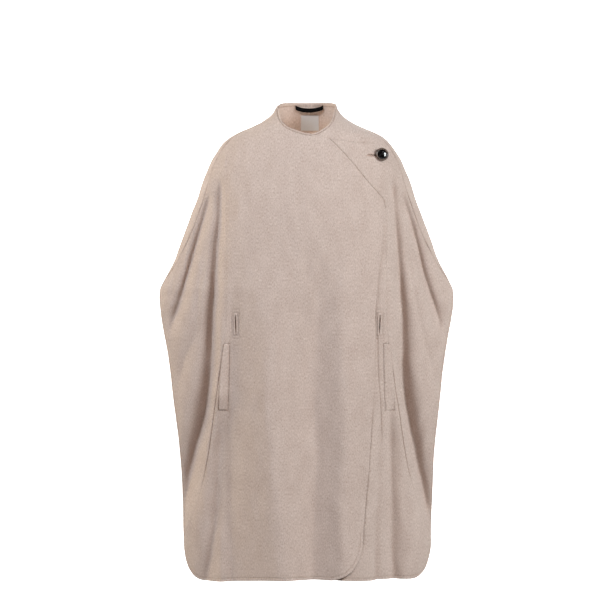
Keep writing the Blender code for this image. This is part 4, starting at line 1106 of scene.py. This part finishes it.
BUTTON_AT = (0.1782, -0.0602)
BUTTONHOLE_ENDS = (0.1455, 0.1800)
BUTTONHOLE_WIDTH = 0.0026
hole_start, hole_end = (front_point(x, BUTTON_AT[1]) for x in BUTTONHOLE_ENDS)
hole_mouth = leaf(0.5 * (hole_start + hole_end), BUTTONHOLE_WIDTH, hole_end[0] - hole_start[0],
                  upright=False)
shoulder_tab = cut_cloth("shoulder_tab_cloth", [
    ("free", front_line(TAB_TOP)),
    ("free", front_line(TAB_SIDE)),
    ("firm seam", front_line(DIAGONAL)[::-1]),
], wool, lapped=True, columns=0.0035, rows=0.0035, clear=0.0125,
    rests_on=["front_under_cloth"], holes=[hole_mouth])

# ---------------------------------------------------------------------------------
# Side fronts: the panels between the princess seams and the overarm seams.  Their
# outer edge is free below the elbow, where the arm comes out.

for hand, side in (("right", -1.0), ("left", 1.0)):
    edge = side_line(side, ELBOW, seam_end)
    panel = cut_cloth(f"side_front_{hand}_cloth", [
        ("firm seam", overarm_line(side, seam_top, ELBOW)),
        ("hem", edge[:-1]),
        ("princess seam", princess_line(side)[::-1]),
    ], wool)

# ---------------------------------------------------------------------------------
# Backs: two halves, seamed down the middle and along the overarm seams, with the same
# rounded corners at the open sides.

CENTRE_BACK = [(0.090, 0.008), (0.000, 0.008), (-0.180, 0.000), (-1.100, 0.000)]

for hand, side in (("right", -1.0), ("left", 1.0)):
    corner = side_and_corner(side, ELBOW, HEM, True)
    neck_height = NECKLINE[-1][1]
    heights = heights_between(HEM, neck_height)
    seam_x = follow(CENTRE_BACK, 1, heights)
    centre_seam = np.stack([arc_of_x(seam_x, heights, True), heights], axis=1)
    neck_turn = math.degrees(math.asin(seam_x[-1] / follow(RINGS, 1, heights)[-1]))
    half = cut_cloth(f"back_{hand}_cloth", [
        ("neck", neck_line(side, 180.0 - side * neck_turn, NECK_ANGLE, True)),
        ("firm seam", overarm_line(side, neck_meeting, ELBOW, True)),
        ("hem", corner),
        ("hem", level_line(corner[-1][0], centre_seam[0][0], HEM)),
        ("seam", centre_seam),
    ], wool, from_back=True)

# ---------------------------------------------------------------------------------
# Pocket welts: straight strips of the same wool on both fronts, sewn down along the
# inner edge and both ends.  The outer edge, beside the princess seam, is the mouth.

FRONTS = (("right", -1.0, "front_lapped_cloth"), ("left", 1.0, "front_under_cloth"))
LIE_GAP = 0.0004            # between a piece that is sewn on and the cloth under it
WELT_THICKNESS = 0.0016
SMALL_ROWS = (0.0005, 0.0011, 0.0018, 0.0026, 0.0036)

for hand, side, panel in FRONTS:
    inner, foot, outer, head = welt_edges(side)
    welt = cut_cloth(f"pocket_welt_{hand}_cloth", [
        ("sewn", inner), ("sewn", foot), ("free", outer[::-1]), ("sewn", head),
    ], wool, raised=LIE_GAP + WELT_THICKNESS, wall=WELT_THICKNESS, columns=SMALL_STEP,
        rows=STEP, clear=0.0046, edge_rows=SMALL_ROWS, rests_on=[panel], held="laid")

# ---------------------------------------------------------------------------------
# Belt slits: an upright slit in each front inside a bound frame of the same wool, whose
# two lips almost meet.  The frame is sewn down all round.

BINDING_THICKNESS = 0.0012
BINDING_ROWS = (0.0004, 0.0009, 0.0015, 0.0022)

for hand, side, panel in FRONTS:
    centre = slit_centre(side)
    binding = cut_cloth(f"slit_binding_{hand}_cloth", [
        ("sewn", edge) for edge in binding_edges(side)
    ], wool, raised=LIE_GAP + BINDING_THICKNESS, wall=BINDING_THICKNESS,
        holes=[slit_mouth(side)], columns=0.0016, rows=0.0030, clear=0.0030,
        edge_rows=BINDING_ROWS, rests_on=[panel], held="laid")

# ---------------------------------------------------------------------------------
# Buttonhole: the slot in the shoulder tab is worked all round with buttonhole stitch in
# a thread a little paler than the cloth.

HOLE_PITCH = 0.0009         # from one buttonhole stitch to the next
HOLE_STITCH = (0.0002, 0.0028)  # each reaches this far into the slot and out of it
HOLE_LIFT = (0.0001, 0.0002)    # and lies this proud of the cloth there
HOLE_THREAD = 0.0011

twist, tree, shader = new_material("pale buttonhole twist", 0.6)
shader.inputs["Base Color"].default_value = linear_colour("#CDB4A6")


def sew(name, starts, ends, normals, width, material):
    """Make short stitches, each a slim thread solid between two points on the cloth."""
    heading = ends - starts
    heading /= np.linalg.norm(heading, axis=1)[:, None]
    aside = 0.5 * width * np.cross(heading, normals)
    above = 0.5 * width * normals
    middle = 0.5 * (starts + ends)
    points = np.stack([starts, middle + aside, middle + above, middle - aside,
                       middle - above, ends], axis=1).reshape(-1, 3)
    stitch = [(0, 1, 2), (0, 2, 3), (0, 3, 4), (0, 4, 1),
              (5, 2, 1), (5, 3, 2), (5, 4, 3), (5, 1, 4)]
    faces = [tuple(6 * k + corner for corner in face) for k in range(len(starts))
             for face in stitch]
    made = add_object(name, points.tolist(), faces, material)
    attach(made, "root")
    return made


def on_cloth(pattern, from_back, lapped, lift):
    """Return points over the worked cloth and the normals there."""
    level = lift + pressed(pattern)
    if lapped:
        level = level + lap_lift(pattern)
    normals = drape_normals(pattern, from_back)
    return drape(pattern, from_back) + normals * level[:, None], normals


mouth = closed(hole_mouth if signed_area(hole_mouth) > 0.0 else hole_mouth[::-1])
ring = points_at(mouth, np.arange(0.0, walked(mouth)[-1], HOLE_PITCH))
outward = np.roll(ring, -1, axis=0) - np.roll(ring, 1, axis=0)
outward = np.stack([outward[:, 1], -outward[:, 0]], axis=1)
outward /= np.linalg.norm(outward, axis=1)[:, None]
near, normals = on_cloth(ring - HOLE_STITCH[0] * outward, False, True, HOLE_LIFT[0])
far, _ = on_cloth(ring + HOLE_STITCH[1] * outward, False, True, HOLE_LIFT[1])
buttonhole = sew("buttonhole_stitches", near, far, normals, HOLE_THREAD, twist)

# ---------------------------------------------------------------------------------
# Button: a 32 mm coat button turned from dark horn, with a polished black dome set in a
# rounded rim.  It is sewn to the under front on a wound thread shank.

BUTTON_RADIUS = 0.0160
BUTTON_BACK = (0.0150, 0.0010)  # radius of its flat back, and the height of that step
BUTTON_TURN = 0.55          # how far it turns from the cloth to face the front
BUTTON_SIDES = 96
SHANK_RADIUS = 0.0011
SMOOTH_BELOW = math.radians(50.0)   # edges that turn more than this stay sharp
# Steps of the front of the button: radius, height over the back
BUTTON_STEPS = [
    (0.0160, 0.0022), (0.0160, 0.0034), (0.0154, 0.0044), (0.0144, 0.0050),
    (0.0132, 0.0050), (0.0122, 0.0043), (0.0116, 0.0036), (0.0110, 0.0040),
    (0.0096, 0.0047), (0.0074, 0.0053), (0.0046, 0.0057), (0.0018, 0.0058),
]
DOME_EDGE = (0.0117, 0.0030)    # the dome lies inside this radius and over this height

horn_rim, tree, shader = new_material("brown streaked horn", 0.32)
place = add_node(tree, "ShaderNodeTexCoord")
streaks = add_node(tree, "ShaderNodeTexNoise", {"Scale": 260.0, "Detail": 3.0},
                   {"Vector": place.outputs["Object"]})
browns = tones(tree, streaks, [(0.35, "#2A211C"), (0.55, "#5B4B41"), (0.72, "#8A776A")])
tree.links.new(browns.outputs["Color"], shader.inputs["Base Color"])
horn_dome, tree, shader = new_material("polished black horn", 0.09)
shader.inputs["Base Color"].default_value = linear_colour("#0C0A0A")
shader.inputs["Coat Weight"].default_value = 0.6
shader.inputs["Coat Roughness"].default_value = 0.04

pattern = front_point(*BUTTON_AT)[None, :]
cloth_at = drape(pattern, False)[0]
cloth_up = drape_normals(pattern, False)[0]
axis = (1.0 - BUTTON_TURN) * cloth_up + BUTTON_TURN * np.array([0.0, -1.0, 0.0])
axis /= np.linalg.norm(axis)
tilt = math.acos(float(np.dot(axis, cloth_up)))
button_back = cloth_at + cloth_up * (LAP_LIFT + SEAM_GAP + BUTTON_RADIUS * math.sin(tilt))

bpy.ops.mesh.primitive_cylinder_add(vertices=BUTTON_SIDES, radius=BUTTON_BACK[0],
                                    depth=BUTTON_BACK[1], end_fill_type="NGON")
button = bpy.context.object
button.name = "button_horn"
bpy.ops.object.mode_set(mode="EDIT")
bpy.ops.mesh.select_mode(type="FACE")
bpy.ops.mesh.select_all(action="SELECT")
bpy.ops.transform.translate(value=(0.0, 0.0, 0.5 * BUTTON_BACK[1]))
bpy.ops.object.mode_set(mode="OBJECT")
top = max(button.data.polygons, key=lambda face: face.center.z)
for face in button.data.polygons:
    face.select = face.index == top.index
bpy.ops.object.mode_set(mode="EDIT")
last_radius, last_height = BUTTON_BACK
for radius, height in BUTTON_STEPS:
    bpy.ops.mesh.extrude_region_move(
        TRANSFORM_OT_translate={"value": (0.0, 0.0, height - last_height)})
    scale = radius / last_radius
    bpy.ops.transform.resize(value=(scale, scale, 1.0), center_override=(0.0, 0.0, height))
    last_radius, last_height = radius, height
bpy.ops.mesh.select_all(action="SELECT")
bpy.ops.mesh.normals_make_consistent(inside=False)
bpy.ops.object.mode_set(mode="OBJECT")
bpy.ops.object.shade_smooth_by_angle(angle=SMOOTH_BELOW)
button.data.materials.append(horn_rim)
button.data.materials.append(horn_dome)
for face in button.data.polygons:
    reach = math.hypot(face.center.x, face.center.y)
    face.material_index = int(reach < DOME_EDGE[0] and face.center.z > DOME_EDGE[1])
turn = Vector((0.0, 0.0, 1.0)).rotation_difference(Vector(axis)).to_matrix().to_4x4()
button.data.transform(Matrix.Translation(Vector(button_back)) @ turn)
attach(button, "root")
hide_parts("button")

# The thread shank passes through the buttonhole to the under front.
shank_start = Vector(cloth_at + cloth_up * SEAM_GAP)
shank_end = Vector(button_back)
bpy.ops.mesh.primitive_cylinder_add(vertices=16, radius=SHANK_RADIUS,
                                    depth=(shank_end - shank_start).length,
                                    end_fill_type="TRIFAN")
shank = bpy.context.object
shank.name = "button_shank"
lean = Vector((0.0, 0.0, 1.0)).rotation_difference(shank_end - shank_start)
shank.data.transform(Matrix.Translation(0.5 * (shank_start + shank_end))
                     @ lean.to_matrix().to_4x4())
bpy.ops.object.shade_smooth_by_angle(angle=SMOOTH_BELOW)
shank.data.materials.append(twist)
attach(shank, "root")

# ---------------------------------------------------------------------------------
# Hanging loop: a short flat tape of black woven cotton, sewn in at both ends inside the
# top of the back neck, from where it hangs in a shallow arch.

LOOP_SPAN = 0.0680
LOOP_AT = (0.0060, 0.0678)  # x of its middle, height of its ends
LOOP_SAG = 0.0062
LOOP_TAPE = (0.0104, 0.0020)    # width, thickness
LOOP_GAP = 0.0010           # its ends lie this far off the cloth
LOOP_STAND_OFF = 0.0065     # and its middle this much further
LOOP_ARCH = 0.6             # the lower, the flatter its arch
TAPE_ROUND = 0.45           # the lower, the squarer the edges of the tape
LOOP_POINTS = 61
LOOP_SIDES = 20

black_tape, tree, shader = new_material("black woven tape", 0.7)
shader.inputs["Base Color"].default_value = linear_colour("#080707")
shader.inputs["Specular IOR Level"].default_value = 0.05
place = add_node(tree, "ShaderNodeTexCoord")
ribs = add_node(tree, "ShaderNodeTexWave", {"Scale": 420.0, "bands_direction": "X"},
                {"Vector": place.outputs["Object"]})
ribbed = add_node(tree, "ShaderNodeBump", {"Strength": 0.4, "Distance": 0.0003},
                  {"Height": ribs.outputs["Fac"]})
tree.links.new(ribbed.outputs["Normal"], shader.inputs["Normal"])

share = np.linspace(0.0, 1.0, LOOP_POINTS)
arch = np.sin(math.pi * share) ** LOOP_ARCH
heights = LOOP_AT[1] - LOOP_SAG * arch
pattern = np.stack([arc_of_x(LOOP_AT[0] + LOOP_SPAN * (share - 0.5), heights, True), heights],
                   axis=1)
normals = drape_normals(pattern, True)
middle = drape(pattern, True) - normals * (
    WALL + LOOP_GAP + LOOP_STAND_OFF * arch + 0.5 * LOOP_TAPE[1])[:, None]
turns = np.linspace(0.0, 2.0 * math.pi, LOOP_SIDES, endpoint=False)
flat_x, flat_z = (0.5 * size * np.sign(swing) * np.abs(swing) ** TAPE_ROUND
                  for size, swing in zip(LOOP_TAPE[::-1], (np.cos(turns), np.sin(turns))))
rings = (middle[:, None] + flat_x[None, :, None] * normals[:, None]
         + flat_z[None, :, None] * np.array([0.0, 0.0, 1.0]))
faces = [tuple(range(LOOP_SIDES))[::-1], tuple(
    range((LOOP_POINTS - 1) * LOOP_SIDES, LOOP_POINTS * LOOP_SIDES))]
for k in range(LOOP_POINTS - 1):
    for j in range(LOOP_SIDES):
        ahead = (j + 1) % LOOP_SIDES
        faces.append((k * LOOP_SIDES + j, k * LOOP_SIDES + ahead,
                      (k + 1) * LOOP_SIDES + ahead, (k + 1) * LOOP_SIDES + j))
loop = add_object("hanging_loop_tape", rings.reshape(-1, 3).tolist(), faces, black_tape)
bpy.ops.object.select_all(action="DESELECT")
bpy.context.view_layer.objects.active = loop
loop.select_set(True)
bpy.ops.object.mode_set(mode="EDIT")
bpy.ops.mesh.select_all(action="SELECT")
bpy.ops.mesh.normals_make_consistent(inside=False)
bpy.ops.object.mode_set(mode="OBJECT")
bpy.ops.object.shade_smooth_by_angle(angle=SMOOTH_BELOW)
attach(loop, "root")
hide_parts("hanging_loop")

# ---------------------------------------------------------------------------------
# Label: a bare rectangle of thin grey satin with fine crosswise ribs, laid flat inside the
# back neck over the centre seam and sewn down.

LABEL_WALL = 0.0006
LABEL_LEVEL = -WALL - 0.0011    # over the pressed-open seam
LABEL_ARCS = (-0.0312, 0.0140)  # its two sides, measured round the back from the middle
LABEL_HEIGHTS = (0.0135, 0.0490)

satin, tree, shader = new_material("grey satin", 0.4)
shader.inputs["Base Color"].default_value = linear_colour("#BEC1C5")
shader.inputs["Sheen Weight"].default_value = 0.3
place = add_node(tree, "ShaderNodeUVMap", {"uv_map": "cloth"})
yarns = add_node(tree, "ShaderNodeTexWave", {"Scale": 700.0, "bands_direction": "Y"},
                 {"Vector": place.outputs["UV"]})
ridged = add_node(tree, "ShaderNodeBump", {"Strength": 0.15, "Distance": 0.0002},
                  {"Height": yarns.outputs["Fac"]})
tree.links.new(ridged.outputs["Normal"], shader.inputs["Normal"])

corners = [np.array((LABEL_ARCS[i], LABEL_HEIGHTS[j]))
           for i, j in ((0, 0), (1, 0), (1, 1), (0, 1), (0, 0))]
label = cut_cloth("label_cloth", [
    ("free", straight(a, b)) for a, b in zip(corners[:-1], corners[1:])
], satin, from_back=True, raised=LABEL_LEVEL, wall=LABEL_WALL, columns=0.0030, rows=0.0030,
    clear=0.0040, edge_rows=SMALL_ROWS, rests_on=["back_right_cloth", "back_left_cloth"],
    held="laid")

# ---------------------------------------------------------------------------------
# Edge stitching: one row in a thread of the cloth's own colour, which shows outside and
# inside, runs 7 mm in from every hem and open side, and 5 mm below the neckline in front
# and 8 mm below it at the back.

STITCH_PITCH = 0.0036
STITCH_LENGTH = 0.0027
STITCH_WIDTH = 0.0007
STITCH_LIFT = 0.0001        # the thread lies this proud of the dip it makes
STITCH_OFF = 0.0005         # a stitch that lies this far off its row is left out
STITCH_CLEAR = 0.9          # and one nearer to any edge than this share of its distance

thread, tree, shader = new_material("spun wool-tone thread", 0.75)
shader.inputs["Base Color"].default_value = linear_colour("#B9A596")
shader.inputs["Sheen Weight"].default_value = 0.2


def stitch_row(outline, lines, distance):
    """Return the starts and ends of stitches at a distance inside some edges."""
    row = closed(inset(outline, distance))
    at = np.arange(0.5 * STITCH_PITCH, walked(row)[-1] - STITCH_PITCH, STITCH_PITCH)
    starts, ends = (points_at(row, at + shift) for shift in (0.0, STITCH_LENGTH))
    good = np.ones(len(at), dtype=bool)
    for points in (starts, ends):
        good &= inside_outline(points, outline)
        good &= np.abs(distance_to(points, lines) - distance) < STITCH_OFF
        good &= distance_to(points, [closed(outline)]) > STITCH_CLEAR * distance
    return starts[good], ends[good]


# What is sewn on a piece, beside its edge stitching
sewn_on = {"shoulder_tab_cloth": [buttonhole], "back_left_cloth": [loop]}
for made, outline, edges, from_back, lapped, cut in cut_pieces:
    rows = []
    for kind, distance in (("hem", HEM_STITCH), ("neck", NECK_STITCH[from_back])):
        starts, ends = stitch_row(outline, edges.get(kind, []), distance)
        if not len(starts):
            continue
        dip = STITCH_DIP[0] if kind == "hem" else NECK_DIP[0]
        for facing, lift in ((1.0, STITCH_LIFT - dip), (-1.0, -WALL + 0.5 * dip - STITCH_LIFT)):
            near, normals = on_cloth(starts, from_back, lapped, lift)
            far, _ = on_cloth(ends, from_back, lapped, lift)
            rows.append((near, far, facing * normals))
    on_it = list(sewn_on.get(made.name, []))
    if rows:
        starts, ends, normals = (np.concatenate(parts) for parts in zip(*rows))
        name = "edge_stitching_" + made.name.removesuffix("_cloth")
        on_it.append(sew(name, starts, ends, normals, STITCH_WIDTH, thread))
    declare_sheet(made, *cut, on_it)

# ---------------------------------------------------------------------------------
# Floor and backdrop: a floor of matt pale paper, and behind it a cove of white paper that
# is lit from behind.  It bends up so far away that a camera can go all round the cape.

FLOOR_HEIGHT = -1.42
FLOOR_SIZE = (22.0, 10.2)
COVE_START = 1.2            # the floor ends and the cove begins here
COVE_BEND = (4.6, 2.0)      # y at which it begins to rise, radius of the bend
COVE_STEPS = 13
COVE_TOP = 8.6
COVE_HALF_WIDTH = 11.0

paper, tree, shader = new_material("white paper", 1.0)
shader.inputs["Base Color"].default_value = linear_colour("#C2C2C2")
bpy.ops.mesh.primitive_plane_add(size=1.0)
floor = bpy.context.object
floor.name = "studio_floor"
middle = (0.0, COVE_START - 0.5 * FLOOR_SIZE[1], FLOOR_HEIGHT)
floor.data.transform(Matrix.Translation(middle) @ Matrix.Diagonal((*FLOOR_SIZE, 1.0, 1.0)))
floor.data.materials.append(paper)

lit_paper, tree, shader = new_material("back-lit white paper", 1.0)
shader.inputs["Base Color"].default_value = linear_colour("#FFFFFF")
shader.inputs["Emission Color"].default_value = linear_colour("#FFFFFF")
shader.inputs["Emission Strength"].default_value = 1.06
bend_y, bend = COVE_BEND
turns = np.linspace(0.0, 0.5 * math.pi, COVE_STEPS)
profile = [(COVE_START, FLOOR_HEIGHT)]
profile += [(bend_y + bend * math.sin(t), FLOOR_HEIGHT + bend * (1.0 - math.cos(t)))
            for t in turns]
profile += [(bend_y + bend, COVE_TOP)]
count = len(profile)
cove = add_object(
    "studio_cove", [(x, y, z) for x in (-COVE_HALF_WIDTH, COVE_HALF_WIDTH) for y, z in profile],
    [(k, k + count, k + 1 + count, k + 1) for k in range(count - 1)], lit_paper)

# ---------------------------------------------------------------------------------
# Light and camera: a large softbox in front on either side, a warm one at the left edge, a
# weak orange one straight in front that warms the folds, and a small fill inside the neck.
# The room around is nearly dark and the camera stands 6 m away.


def softbox(name, place, aim, size, watts, colour, mirrored=True):
    """Hang a square softbox that points at a spot and may show in polished pieces."""
    lamp = bpy.data.lights.new(name, "AREA")
    lamp.shape = "SQUARE"
    lamp.size = size
    lamp.energy = watts
    lamp.color = linear_colour(colour)[:3]
    made = bpy.data.objects.new(name, lamp)
    made.location = place
    made.rotation_euler = (Vector(aim) - Vector(place)).to_track_quat("-Z", "Y").to_euler()
    made.visible_camera = False
    made.visible_glossy = mirrored
    bpy.context.scene.collection.objects.link(made)


softbox("left softbox", (-2.2, -1.6, 1.6), (0.0, 0.0, -0.20), 1.3, 92.0, "#F2FAFF")
softbox("right softbox", (2.9, -2.1, 0.9), (0.0, 0.0, -0.20), 1.5, 127.0, "#FBFFFF")
softbox("left edge softbox", (-3.2, 0.6, 0.6), (0.0, 0.0, -0.40), 1.4, 38.0, "#FFDE9A")
softbox("front softbox", (0.0, -4.4, 1.6), (0.0, 0.0, -0.45), 1.6, 18.0, "#FF9430", False)
softbox("neck fill", (0.075, -0.035, -0.14), (-0.060, 0.050, 0.050), 0.06, 0.26, "#FFEEDC",
        False)
world = bpy.data.worlds.new("studio")
world.use_nodes = True
room = world.node_tree.nodes["Background"]
room.inputs["Color"].default_value = linear_colour("#FFE0C8")
room.inputs["Strength"].default_value = 0.02
bpy.context.scene.world = world
bpy.context.scene.view_settings.view_transform = "Standard"

EYE = (0.0012, -6.0, -0.4263)   # straight in front, 6 m away, at the height of the elbows
LENS = 143.6                # 1.5 m of width at the cape fill the frame

camera = bpy.data.cameras.new("camera")
camera.lens = LENS
camera.clip_end = 60.0
eye = bpy.data.objects.new("camera", camera)
eye.location = EYE
eye.rotation_euler = (0.5 * math.pi, 0.0, 0.0)
bpy.context.scene.collection.objects.link(eye)
bpy.context.scene.camera = eye
